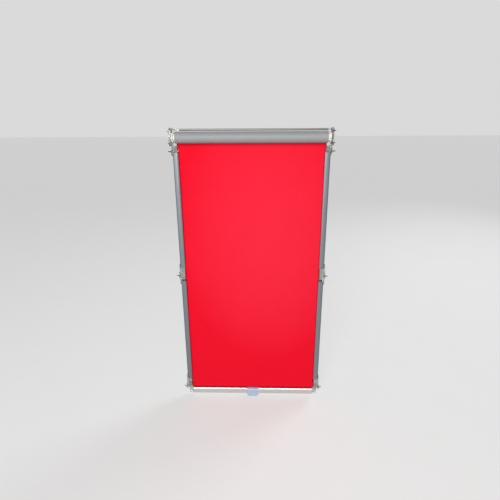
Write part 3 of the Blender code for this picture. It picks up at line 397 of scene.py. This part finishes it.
def zinc_plate(name, cool, warm):
    """Plated steel whose passivation goes from cool to warm, with a dull crystalline mottle."""
    zinc = Finish(name, 0.30, 1.0)
    place = zinc.place()
    tint = zinc.noise(place, 420.0, 2.0)
    grain = zinc.noise(place, 2600.0, 3.0, 0.65)
    zinc.set("Base Color", zinc.shade(zinc.mix(tint, cool, warm), 0.86 + grain * 0.22))
    zinc.set("Roughness", 0.22 + grain * 0.22)
    zinc.bump(grain, 0.00002, 0.5)
    return zinc.material


ALONG_X, ALONG_Z = 0, 2
BAR_METAL = drawn_metal("anodised_aluminium_bar", BRIGHT_SILVER, 0.29, ALONG_X)
# The head's metal carries a painted shade in its colour.
HEAD_METAL = drawn_metal("anodised_aluminium_head", HEAD_SHADED_SILVER, 0.36, ALONG_X)
RAIL_METAL = drawn_metal("anodised_aluminium_upright", RAIL_SILVER, 0.34, ALONG_Z)
TUBE_METAL = drawn_metal("mill_aluminium", (0.62, 0.63, 0.65), 0.40, ALONG_X, 1.6)
SPRING_STEEL = drawn_metal("spring_steel", (0.30, 0.31, 0.34), 0.34, ALONG_X)
ZINC = zinc_plate("zinc_plated_steel", (0.50, 0.53, 0.60), (0.62, 0.60, 0.52))
DARK_ZINC = zinc_plate("dark_zinc_plated_steel", (0.10, 0.10, 0.15), (0.16, 0.14, 0.13))
CLEAR = clear_plastic()
WHITE = moulded("white_plastic", (0.92, 0.92, 0.90), 0.34)
# A darker, warmer colour than the white, given to the plugs' hubs.
HUB_TONE = moulded("cream_plastic", (0.90, 0.86, 0.70), 0.42)
TAB_BLUE = moulded("pale_blue_plastic", (0.44, 0.56, 0.70), 0.30, mottle=0.03, coat=0.7)
CLOTH_FINISHES = [red_cloth(), grey_backing(), cut_edge()]
FACE, BACK, EDGE = range(3)


# Meshes from whole arrays


def grid_faces(rows, columns, around=False, along=False):
    """The quads of a grid of points, joined round its columns or along its rows if asked."""
    row = np.arange(rows if along else rows - 1)[:, None]
    column = np.arange(columns if around else columns - 1)[None, :]
    below, beside = (row + 1) % rows, (column + 1) % columns
    corners = (row * columns + column, row * columns + beside,
               below * columns + beside, below * columns + column)
    return np.stack(np.broadcast_arrays(*corners), -1).reshape(-1, 4)


def round_x(distance, radius, turns):
    """Points round X, at (distance, radius * cosine of the turn, radius * sine of the turn)."""
    places = (distance, radius * np.cos(turns), radius * np.sin(turns))
    return np.stack(np.broadcast_arrays(*places), -1)


def whole_turn(count):
    """So many even steps of one turn, in radians."""
    return np.arange(count) * 2 * np.pi / count


def shown(name, mesh, body):
    """A mesh at its place in the scene, riding on a body."""
    made = bpy.data.objects.new(name, mesh)
    bpy.context.collection.objects.link(made)
    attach(made, body)
    return made


def smoothed(mesh, angle):
    """Shades a mesh smooth but for its edges above an angle."""
    mesh.shade_smooth()
    mesh.set_sharp_from_angle(angle=angle)


def piece(name, points, faces, materials, body, kinds=None, uv=None, angle=SHARP_ANGLE):
    """A finished piece: its mesh at its place, finishes by face, smooth below an angle."""
    mesh = bpy.data.meshes.new(name)
    mesh.from_pydata(points.reshape(-1, 3).tolist(), [], faces)
    for material in materials:
        mesh.materials.append(material)
    if kinds is not None:
        mesh.polygons.foreach_set("material_index", kinds.astype(np.int32))
    if uv is not None:
        layer = mesh.uv_layers.new(name="UVMap")
        corners = np.empty(len(mesh.loops), dtype=np.int32)
        mesh.loops.foreach_get("vertex_index", corners)
        layer.data.foreach_set("uv", uv.reshape(-1, 2)[corners].ravel())
    mesh.validate()
    work = bmesh.new()
    work.from_mesh(mesh)
    bmesh.ops.recalc_face_normals(work, faces=work.faces)
    work.to_mesh(mesh)
    work.free()
    smoothed(mesh, angle)
    return shown(name, mesh, body)


def eased(corners, radius, steps):
    """A closed line of corners, each cut by a curve that starts and ends radius away from it.

    Point t of a curve is (1 - t)^2 * its start + 2 t (1 - t) * the corner + t^2 * its end. On a
    short side the curve starts at 0.45 of the side.
    """
    corners = np.asarray(corners, dtype=float)
    before = corners - np.roll(corners, 1, 0)
    after = np.roll(corners, -1, 0) - corners
    run_in = np.linalg.norm(before, axis=1, keepdims=True)
    run_out = np.linalg.norm(after, axis=1, keepdims=True)
    reach = np.minimum(radius, 0.45 * np.minimum(run_in, run_out))
    first = (corners - before / run_in * reach)[:, None]
    last = (corners + after / run_out * reach)[:, None]
    t = np.linspace(0, 1, steps)[None, :, None]
    bends = (1 - t) ** 2 * first + 2 * t * (1 - t) * corners[:, None] + t**2 * last
    return bends.reshape(-1, 2)


def softened(node, material, width, segments=2):
    """A merged copy of a CAD node with its sharp edges eased, in place of the node."""
    mesh = frame["nodes"][node].data.copy()
    mesh.name = f"{node}_eased"
    work = bmesh.new()
    work.from_mesh(mesh)
    bmesh.ops.remove_doubles(work, verts=work.verts, dist=MERGE_REACH)
    bmesh.ops.dissolve_limit(work, angle_limit=FLAT_ANGLE, verts=work.verts,
                             edges=work.edges)
    work.to_mesh(mesh)
    work.free()
    mesh.materials.clear()
    mesh.materials.append(material)
    smoothed(mesh, EASED_ANGLE)
    made = shown(f"{node}_eased", mesh, body_of_node(node))
    edge = made.modifiers.new("eased_edges", "BEVEL")
    edge.width = width
    edge.segments = segments
    edge.limit_method = "ANGLE"
    edge.angle_limit = EASED_ANGLE
    edge.harden_normals = True
    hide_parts(node)
    return made


def spots_of(mesh):
    """The places of a mesh's points, as an array."""
    spots = np.empty((len(mesh.vertices), 3))
    mesh.vertices.foreach_get("co", spots.ravel())
    return spots


def roll_over(made, reach, cuts=6):
    """Rounds the top front corner of a piece, which runs along X.

    The corner's square is cut at tan(a) * reach from its inner sides. Each point in it, at
    (d, e) from the inner corner, then moves to (d, e) * max(d, e) / length(d, e), so the
    square's outer sides become a quarter of a circle.
    """
    mesh = made.data
    spots = spots_of(mesh)
    top = spots[:, 2].max()
    front = spots[spots[:, 2] > top - reach, 1].min()
    work = bmesh.new()
    work.from_mesh(mesh)
    for turn in np.linspace(0, math.pi / 4, cuts, endpoint=False):
        step = reach * math.tan(turn)
        for place, way in (((0, front + reach - step, 0), (0, 1, 0)),
                           ((0, 0, top - reach + step), (0, 0, 1))):
            everything = [*work.verts, *work.edges, *work.faces]
            bmesh.ops.bisect_plane(work, geom=everything, dist=1e-7, plane_co=place, plane_no=way)
    work.to_mesh(mesh)
    work.free()
    spots = spots_of(mesh)
    offsets = np.stack([front + reach - spots[:, 1], spots[:, 2] - top + reach], -1)
    inside = (offsets > 1e-9).all(axis=1)
    length = np.where(inside, np.linalg.norm(offsets, axis=1), 1.0)
    scale = np.where(inside, offsets.max(axis=1) / length, 1.0)
    moved = offsets * scale[:, None]
    spots[:, 1] = front + reach - moved[:, 0]
    spots[:, 2] = top - reach + moved[:, 1]
    mesh.vertices.foreach_set("co", spots.ravel())
    smoothed(mesh, EASED_ANGLE)


# The cloth


def strip(name, body, centres, normals, halves, columns, shift=None):
    """A piece of cloth with a thickness, carried along a path in the Y-Z plane.

    Point (row, column) is at x = half the row's width * (2 column / (columns - 1) - 1), set
    off from the path's centre by half the thickness along its normal: one way for the face,
    the other for the back, so each row is a closed ring. The ends are closed by quads
    between them. A shift moves the points along Y. The piece is given back with the length
    of its path.
    """
    rows, ring = len(centres), 2 * columns
    x = halves[:, None] * np.linspace(-1, 1, columns)[None, :]
    sheets = []
    for side, order in ((0.5, slice(None)), (-0.5, slice(None, None, -1))):
        y, z = (centres + side * CLOTH_THICK * normals).T[:, :, None]
        sheets.append(np.stack(np.broadcast_arrays(x, y, z), -1)[:, order])
    points = np.concatenate(sheets, 1)
    if shift:
        points[..., 1] += shift(points)
    kinds = np.full((rows - 1, ring), BACK)
    kinds[:, :columns - 1] = FACE
    kinds[:, [columns - 1, ring - 1]] = EDGE
    i = np.arange(columns - 1)
    ends = [np.stack([base + i, base + i + 1, base + ring - 2 - i, base + ring - 1 - i], -1)
            for base in (0, (rows - 1) * ring)]
    faces = np.concatenate([grid_faces(rows, ring, around=True), *ends])
    kinds = np.concatenate([kinds.ravel(), np.full(2 * (columns - 1), EDGE)])
    steps = np.linalg.norm(np.diff(centres, axis=0), axis=1)
    length = np.concatenate([[0.0], np.cumsum(steps)])
    across = np.concatenate([x, x[:, ::-1]], 1)
    uv = np.stack(np.broadcast_arrays(across, length[:, None]), -1)
    made = piece(name, points, faces.tolist(), CLOTH_FINISHES, body, kinds, uv)
    return made, float(length[-1])


def billow(points, deepest=0.0009, clear_of_roll=0.2):
    """How far the lowered cloth stands out of its plane: sines across and down, faded out.

    The waves are three sines of the shares across and down. The fade is the root of
    sine(pi * share down) * (1 - share across^6), so it is nothing at the roll, the bar and
    the rails. Over the first part of the way down, it also goes with the square of the way,
    so the cloth clears the roll when it is short.
    """
    down = (AXIS_Z - points[..., 2]) / CLOTH_HANG
    across = points[..., 0] / CLOTH_HALF
    fade = np.sqrt(np.clip(np.sin(np.pi * down), 0, 1)) * (1 - np.abs(across) ** 6)
    fade *= np.minimum(1.0, (down / clear_of_roll) ** 2)
    waves = (np.sin(2.1 * np.pi * across + 5.0 * down) * 0.4
             + np.sin(3.7 * np.pi * across - 2.0 + 9.0 * down) * 0.25
             + np.sin(11.0 * down + 1.3 * across) * 0.35)
    return deepest * fade * waves


def make_lowered_cloth(rows=181, columns=91, above_bar=0.0003):
    """The cloth between the roll and the bar: one plane, with a shallow billow.

    It narrows to its hem's width just above the bar.
    """
    z = np.linspace(AXIS_Z, CLOTH_FOOT, rows)
    centres = np.stack([np.full(rows, CLOTH_Y), z], -1)
    normals = np.tile([-1.0, 0.0], (rows, 1))
    halves = np.where(z < BAR_TOP + above_bar, HEM_HALF, CLOTH_HALF)
    return strip("blackout_cloth", "root", centres, normals, halves,
                 columns, billow)


def make_cloth_hem(columns=13, arc_rows=40, run_rows=5):
    """The cloth's foot inside the bar: down through the slot and round the hem rod.

    The path runs down to a point above the rod, along the line that touches the rod's
    sleeve, round the sleeve, and up the other side to the seam beside that point.
    """
    rod = middle("hem_rod")
    sleeve = 0.00195
    tip = 0.0030
    below_foot = 0.0001
    seam_beside, seam_below = 0.00048, 0.0002
    seam = np.array([[-seam_beside, tip - seam_below]])
    lean = math.acos(sleeve / tip)
    turn = np.linspace(math.pi / 2 - lean, -3 * math.pi / 2 + lean, arc_rows)
    arc = np.stack([sleeve * np.cos(turn), sleeve * np.sin(turn)], -1)
    high = CLOTH_FOOT - below_foot - rod.z
    run = np.linspace(0, 1, run_rows, endpoint=False)[:, None]
    into = (1 - run) * np.array([[0.0, high]]) + run * np.array([[0.0, tip]])
    to_arc = (1 - run) * np.array([[0.0, tip]]) + run * arc[:1]
    back = (1 - run[1:]) * arc[-1:] + run[1:] * seam
    path = np.concatenate([into, to_arc, arc, back])
    ahead = np.gradient(path, axis=0)
    ahead /= np.linalg.norm(ahead, axis=1, keepdims=True)
    normals = np.stack([ahead[:, 1], -ahead[:, 0]], -1)
    centres = path + np.array([CLOTH_Y, rod.z])
    halves = np.full(len(path), HEM_HALF)
    hem, _ = strip("cloth_hem", "bottom_bar", centres, normals, halves,
                   columns)
    return hem


def make_wound_cloth(name, body, turns, outer, pitch, rows_a_turn=112, columns=25):
    """Cloth wound round the roller, grey outside: radius = outer - pitch * turns so far."""
    rows = int(turns * rows_a_turn) + 1
    turn = np.linspace(0, turns * 2 * np.pi, rows)
    radius = outer - pitch * turn / (2 * np.pi)
    outward = np.stack([np.cos(turn), np.sin(turn)], -1)
    centres = radius[:, None] * outward + np.array([AXIS_Y, AXIS_Z])
    halves = np.full(rows, CLOTH_HALF)
    wound, length = strip(name, body, centres, -outward, halves, columns)
    return wound


cloth, cloth_length = make_lowered_cloth()
hem = make_cloth_hem()
# The inner turn keeps one radius, so it stops just short of its own start.
wound = make_wound_cloth("wound_cloth", "roller", turns=0.98,
                         outer=INNER_TURN_RADIUS, pitch=0.0)
# The outer turn leads into the lowered cloth, so it stays while the turn under it goes round.
make_wound_cloth("outer_turn", "root", turns=1.0,
                 outer=ROLL_RADIUS - CLOTH_PITCH / 2, pitch=CLOTH_PITCH)
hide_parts("blackout_fabric")
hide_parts("fabric_roll")
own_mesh(cloth)


# End plugs of the roller: their radii, and the distances along X from the tube's end. The
# barrel drops clear of the tube's groove, and eases in over the smaller angle.

BARREL = 0.01075
GROOVE_FLOOR = 0.0082
GROOVE_HALF_ANGLE = 0.34
GROOVE_EASE_ANGLE = 0.05
SHOULDER = 0.01195
HUB = 0.0085
FLUTE_DEPTH = 0.0014
DISC = 0.0136
DISC_STEP = 0.0112
DISC_STEP_TOP = 0.0115
RIM = 0.0090
RIM_INSIDE = 0.0086
BOSS_FOOT = 0.0056
BOSS = 0.0050
SPINDLE_BORE = 0.0033
PIN_BORE = 0.0031
PIN_CHAMBER = 0.0049
SHOULDER_X, HUB_X, DISC_X, NOSE_X, TIP_X = 0.0003, 0.0011, 0.0041, 0.0068, 0.0074
STEP = 0.0004
FACE_SINK = 0.0006
CHAMBER_X = TIP_X - 0.0036
PLUG_EASE = 0.00022
PLUG_BACK = abs(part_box("spring_plug")[1][0]) - TUBE_END
# Where the hub's darker, warmer colour begins and ends.
HUB_TONE_FROM, HUB_TONE_TO = SHOULDER_X + 0.0005, DISC_X - 0.0001


def plug_shape(distance, radius, turns):
    """Radii of a plug: its barrel clears the tube's groove, and its hub is fluted.

    The barrel drops to the groove's floor within the groove's half angle of the top. The
    hub's radius falls by the flutes' depth in twelve hollows, as 2 cos(6 turn)^2 - 0.9,
    held between 0 and 1.
    """
    from_top = np.abs(turns - np.pi / 2)
    groove = np.clip((GROOVE_HALF_ANGLE - from_top) / GROOVE_EASE_ANGLE, 0, 1)
    on_barrel = (distance < SHOULDER_X) & (radius > HUB)
    barrel = np.where(on_barrel, radius - (BARREL - GROOVE_FLOOR) * groove, radius)
    between = (distance > HUB_X + STEP / 2) & (distance < DISC_X - STEP / 2)
    on_hub = between & (radius > BOSS) & (radius < SHOULDER)
    flute = np.clip(np.cos(6 * turns) ** 2 * 2 - 0.9, 0, 1)
    return np.where(on_hub, radius - FLUTE_DEPTH * flute, barrel)


def make_plug(name, side, bore, facets=108):
    """A flanged end plug, turned about X: barrel, shoulder, fluted hub in a darker, warmer colour than the white,
    disc and nose.

    Its profile is a closed ring of (distance, radius). Point (i, turn) is at side * (the
    tube's end + distance i) along X, on a circle of the radius that plug_shape gives.
    """
    outside = [
        (PLUG_BACK, BARREL), (SHOULDER_X, BARREL), (SHOULDER_X, SHOULDER),
        (HUB_X, SHOULDER), (HUB_X, HUB), (HUB_X + STEP, HUB),
        (DISC_X - STEP, HUB), (DISC_X, HUB), (DISC_X, DISC_STEP),
        (DISC_X + STEP, DISC_STEP_TOP), (DISC_X + STEP, DISC - 1.5 * STEP),
        (DISC_X, DISC - STEP), (DISC_X + STEP, DISC),
        (NOSE_X - 2 * STEP, DISC), (NOSE_X, DISC - 2 * STEP), (NOSE_X, RIM),
        (NOSE_X - FACE_SINK, RIM_INSIDE), (NOSE_X - FACE_SINK, BOSS_FOOT),
        (NOSE_X, BOSS), (TIP_X, BOSS),
    ]
    distance, radius = np.hsplit(eased(outside + bore, PLUG_EASE, 4), 2)
    turns = whole_turn(facets)
    reach = plug_shape(distance, radius, turns)
    points = round_x(side * (TUBE_END + distance), reach, turns) + np.array([0, AXIS_Y, AXIS_Z])
    faces = grid_faces(len(radius), facets, around=True, along=True)
    # The hub's faces take the darker, warmer colour.
    hub_toned = (distance > HUB_TONE_FROM) & (distance < HUB_TONE_TO)
    plug = piece(f"{name}_turned", points, faces.tolist(), [WHITE, HUB_TONE], "roller",
                 np.repeat(hub_toned, facets))
    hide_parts(name)


make_plug("spring_plug", -1, [(TIP_X, SPINDLE_BORE), (PLUG_BACK, SPINDLE_BORE)])
make_plug("idle_plug", 1, [(TIP_X, PIN_BORE), (CHAMBER_X, PIN_BORE), (CHAMBER_X, PIN_CHAMBER),
                           (PLUG_BACK, PIN_CHAMBER)])


# The pin's spring


def make_pin_spring(wire=0.0004, turns=6.5, closed_room=1.02, rows_a_turn=40, facets=12):
    """A compression spring: a round wire wound round X, with a closed turn at each end.

    At turn t the wire's middle is on a circle round the axis, closed_pitch * t along it plus
    the rest of the length * the share of the open turns that are done. The wire's ring is
    spanned by the way out and by the way across the wire.
    """
    low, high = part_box("idle_pin_spring")
    full = high[0] - low[0]
    radius = (high[2] - low[2]) / 2 - wire
    length = full - 2 * wire
    closed_pitch = 2 * wire * closed_room
    turn = np.linspace(0, turns, int(turns * rows_a_turn) + 1)
    done = np.clip((turn - 1) / (turns - 2), 0, 1)
    along = closed_pitch * turn + (length - closed_pitch * turns) * done
    outward = round_x(0.0, 1.0, 2 * np.pi * turn)
    middle_line = radius * outward + np.array([low[0] + wire, AXIS_Y, AXIS_Z])
    middle_line[:, 0] += along
    ahead = np.gradient(middle_line, axis=0)
    ahead /= np.linalg.norm(ahead, axis=1, keepdims=True)
    across = np.cross(outward, ahead)
    ring = whole_turn(facets)[:, None]
    points = middle_line[:, None] + wire * (np.cos(ring) * outward[:, None]
                                            + np.sin(ring) * across[:, None])
    last = (len(turn) - 1) * facets
    ends = [list(range(facets)), list(range(last, last + facets))]
    faces = grid_faces(len(turn), facets, around=True).tolist() + ends
    spring = piece("idle_pin_spring_wire", points, faces, [SPRING_STEEL], "roller")
    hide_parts("idle_pin_spring")
    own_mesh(spring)


make_pin_spring()


# Screws: the head with its cross recess, then the thread

HEAD_RADIUS = 0.0030
HEAD_HEIGHT = 0.0017
DOME_RISE = 0.00095
DOME_BEND = 0.94
CROSS_TURN = 0.4
CROSS_DEPTH = 0.0012
CROSS_HALF_WIDTH = 0.00042
CROSS_REACH = 0.00155
CROSS_SLOPE = 0.00075
CROSS_EDGE = 0.00010
CORE_RADIUS = 0.00098
NECK_LENGTH = 0.0010
NECK_SHARE = 1.25
THREAD_RUN_IN = 0.0012
THREAD_DEPTH = 0.00045
THREAD_PITCH = 0.0011
RIDGE_HALF_WIDTH = 0.26
POINT_LENGTH = 0.0025
SHANK_START, POINT_LEFT = 0.0002, 0.00005


def screw_head(turns, cross_rows=22, edge_rows=7):
    """The dome with its cross, and the rim, which curves in to the shank.

    The dome's depth is rise * (1 - root of (1 - (bend * share of the radius)^2)). The cross
    deepens it where a point is within its width of an arm's middle line, less and less
    towards the ends of the arms. The rows lie closer where the cross is.
    """
    share = np.concatenate([np.linspace(0.02, 0.72, cross_rows),
                            np.linspace(0.76, 1.0, edge_rows)])[:, None]
    radius = HEAD_RADIUS * share
    dome = DOME_RISE * (1 - np.sqrt(1 - (DOME_BEND * share) ** 2))
    a = np.abs(radius * np.cos(turns + CROSS_TURN))
    b = np.abs(radius * np.sin(turns + CROSS_TURN))
    width = np.clip((CROSS_HALF_WIDTH - np.minimum(a, b)) / CROSS_EDGE, 0, 1)
    hollow = width * np.clip((CROSS_REACH - np.maximum(a, b)) / CROSS_SLOPE, 0, 1)
    rim_x = np.array([0.00085, 0.00125, 0.00155, HEAD_HEIGHT, HEAD_HEIGHT, HEAD_HEIGHT])
    rim_radius = np.array([0.00302, HEAD_RADIUS, 0.0029, 0.0027, 0.0020, 0.00146])
    return (round_x(dome + CROSS_DEPTH * hollow, radius, turns),
            round_x(rim_x[:, None], rim_radius[:, None], turns))


def screw_shank(length, turns, rows=88):
    """The shank: its core plus a sharp ridge, times a taper that closes the point.

    The ridge climbs one pitch a turn, starts after the neck, and falls off to each side of its
    line within a share of the pitch.
    """
    along = np.linspace(SHANK_START, length - POINT_LEFT, rows)[:, None]
    phase = (along / THREAD_PITCH - turns / (2 * np.pi)) % 1.0
    ridge = np.clip(1 - np.abs(phase - 0.5) / RIDGE_HALF_WIDTH, 0, 1)
    ridge = ridge * np.clip((along - NECK_LENGTH) / THREAD_RUN_IN, 0, 1)
    taper = np.clip((length - along) / POINT_LENGTH, 0, 1) ** 0.8
    core = CORE_RADIUS * np.where(along < NECK_LENGTH, NECK_SHARE, 1.0)
    return round_x(HEAD_HEIGHT + along, (core + THREAD_DEPTH * ridge) * taper, turns)


def make_screw(node, facets=64):
    """A pan-head wood screw in place of a node, closed by a fan of triangles at each end."""
    low, high = (Vector(corner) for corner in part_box(node))
    side = 1.0 if high.x > 0 else -1.0
    length = high.x - low.x - HEAD_HEIGHT
    start = np.array([low.x if side > 0 else high.x, (low.y + high.y) / 2, (low.z + high.z) / 2])
    turns = whole_turn(facets)
    rows = np.concatenate([*screw_head(turns), screw_shank(length, turns)])
    poles = np.array([[CROSS_DEPTH, 0.0, 0.0], [HEAD_HEIGHT + length, 0.0, 0.0]])
    points = np.concatenate([rows.reshape(-1, 3), poles]) * np.array([side, 1.0, 1.0]) + start
    first = len(rows) * facets
    i = np.arange(facets)
    j = (i + 1) % facets
    head_fan = np.stack([np.full(facets, first), j, i], -1)
    point_fan = np.stack([np.full(facets, first + 1), first - facets + i, first - facets + j], -1)
    fans = np.concatenate([head_fan, point_fan]).tolist()
    faces = grid_faces(len(rows), facets, around=True).tolist() + fans
    screw = piece(f"{node}_threaded", points, faces, [DARK_ZINC], body_of_node(node),
                  angle=SCREW_SHARP_ANGLE)
    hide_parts(node)


for height in ("lower", "upper"):
    for side in SIDES:
        make_screw(f"bracket_screw_{height}_{side}")
for kind in ("rail_top_clip", "rail_connector", "rail_holder"):
    for side in SIDES:
        make_screw(f"{kind}_{side}_screw")


# Mouldings and extrusions: eased copies of the solids

MOULDED_EASE = 0.0002
DRAWN_EASE = 0.00015
BAR_EASE = 0.00020
TAB_EASE = 0.00035
TAB_ROUND = 0.0040

for side in SIDES:
    for kind in ("bracket", "rail_top_clip", "rail_connector", "rail_holder", "bar_slider"):
        softened(f"{kind}_{side}", CLEAR, MOULDED_EASE)
    for kind in ("guide_rail_upper", "guide_rail_lower"):
        softened(f"{kind}_{side}", RAIL_METAL, DRAWN_EASE)
    softened(f"head_cap_{side}", CLEAR, MOULDED_EASE)
softened("head_profile", HEAD_METAL, DRAWN_EASE)
softened("bar_profile", BAR_METAL, BAR_EASE)
roll_over(softened("pull_tab", TAB_BLUE, TAB_EASE, segments=3), TAB_ROUND)

# Nodes that keep their shape

KEPT = {
    "roller_tube": TUBE_METAL, "spindle": ZINC, "spring_anchor": WHITE,
    "torsion_spring": SPRING_STEEL, "fabric_spline": WHITE, "drive_plug": WHITE,
    "idle_plug_cap": WHITE, "idle_pin": ZINC, "hem_rod": WHITE,
    "brake_spring_left": SPRING_STEEL, "brake_spring_right": SPRING_STEEL,
}
for node, material in KEPT.items():
    for slot in frame["nodes"][node].material_slots:
        slot.material = material


# Floor, light and camera: what is looked at gets the seen levels

FLOOR_HALF = 9.0
FLOOR_GAP = 0.0005
FLOOR_Z = cad_low.z - FLOOR_GAP
FLOOR_SEEN = 0.52
BACKGROUND_SEEN = 0.70
AMBIENT = 0.15
CAMERA_PLACE = (0.0227, -1.0309, 0.4527)
CAMERA_PITCH, CAMERA_YAW, CAMERA_ROLL = (math.radians(a) for a in (19.967, -1.525, -0.396))
FOCAL_LENGTH = 30.14


def make_floor():
    """A plain pale floor. What looks at it, by eye or by reflection, sees an added level."""
    pale = Finish("pale_floor", 0.8, Emission_Strength=1.0)
    speck = pale.noise(pale.place(), 8.0, 2.0)
    pale.set("Base Color", pale.mix(speck, (0.29, 0.29, 0.287), (0.31, 0.31, 0.307)))
    added = pale.looked_at() * FLOOR_SEEN
    pale.set("Emission Color", pale.node("CombineXYZ", {}, {0: added, 1: added, 2: added}))
    corners = [(x * FLOOR_HALF, y * FLOOR_HALF, FLOOR_Z)
               for x, y in ((-1, -1), (1, -1), (1, 1), (-1, 1))]
    mesh = bpy.data.meshes.new("floor")
    mesh.from_pydata(corners, [], [(0, 1, 2, 3)])
    mesh.materials.append(pale.material)
    floor = bpy.data.objects.new("floor", mesh)
    bpy.context.collection.objects.link(floor)


def make_lamp(name, place, size, power, spread=180, mirrored=True):
    """A soft square lamp that faces the middle. Gloss and clear plastic may leave it out."""
    lamp = bpy.data.lights.new(name, "AREA")
    lamp.spread = math.radians(spread)
    lamp.size = size
    lamp.energy = power
    made = bpy.data.objects.new(name, lamp)
    made.visible_glossy = made.visible_transmission = mirrored
    made.location = place
    made.rotation_euler = (-Vector(place)).to_track_quat("-Z", "Y").to_euler()
    bpy.context.collection.objects.link(made)


def make_world():
    """Even light, with a paler level where the camera, gloss or clear plastic looks at it."""
    world = bpy.data.worlds.new("studio")
    bpy.context.scene.world = world
    world.use_nodes = True
    studio = Nodes(world.node_tree)
    level = studio.looked_at() * (BACKGROUND_SEEN - AMBIENT) + AMBIENT
    sky = world.node_tree.nodes["Background"]
    studio.join(sky.inputs["Color"], (1.0, 1.0, 1.0))
    studio.join(sky.inputs["Strength"], level)


def make_camera():
    """The camera at the photograph's angle: its own axes are turned by pitch, yaw and roll."""
    flat = math.cos(CAMERA_PITCH)
    ahead = Vector((math.sin(CAMERA_YAW) * flat, math.cos(CAMERA_YAW) * flat,
                    -math.sin(CAMERA_PITCH)))
    right = Vector((math.cos(CAMERA_YAW), -math.sin(CAMERA_YAW), 0.0))
    up = right.cross(ahead)
    level = math.cos(CAMERA_ROLL) * right + math.sin(CAMERA_ROLL) * up
    upright = -math.sin(CAMERA_ROLL) * right + math.cos(CAMERA_ROLL) * up
    lens = bpy.data.cameras.new("camera")
    lens.lens = FOCAL_LENGTH
    lens.sensor_width = 36.0
    lens.clip_start = 0.01
    camera = bpy.data.objects.new("camera", lens)
    turn = Matrix((level, upright, -ahead)).transposed().to_4x4()
    camera.matrix_world = Matrix.Translation(CAMERA_PLACE) @ turn
    bpy.context.collection.objects.link(camera)
    bpy.context.scene.camera = camera


make_floor()
make_lamp("key_light", (-0.25, -2.5, 0.95), size=1.6, power=40.0, spread=140)
make_lamp("fill_light", (-1.6, -1.8, 0.2), size=1.4, power=3.0)
make_lamp("back_light", (2.4, 2.1, 1.1), size=1.6, power=21.0, spread=80, mirrored=False)
make_world()
make_camera()
bpy.context.scene.view_settings.view_transform = "Standard"
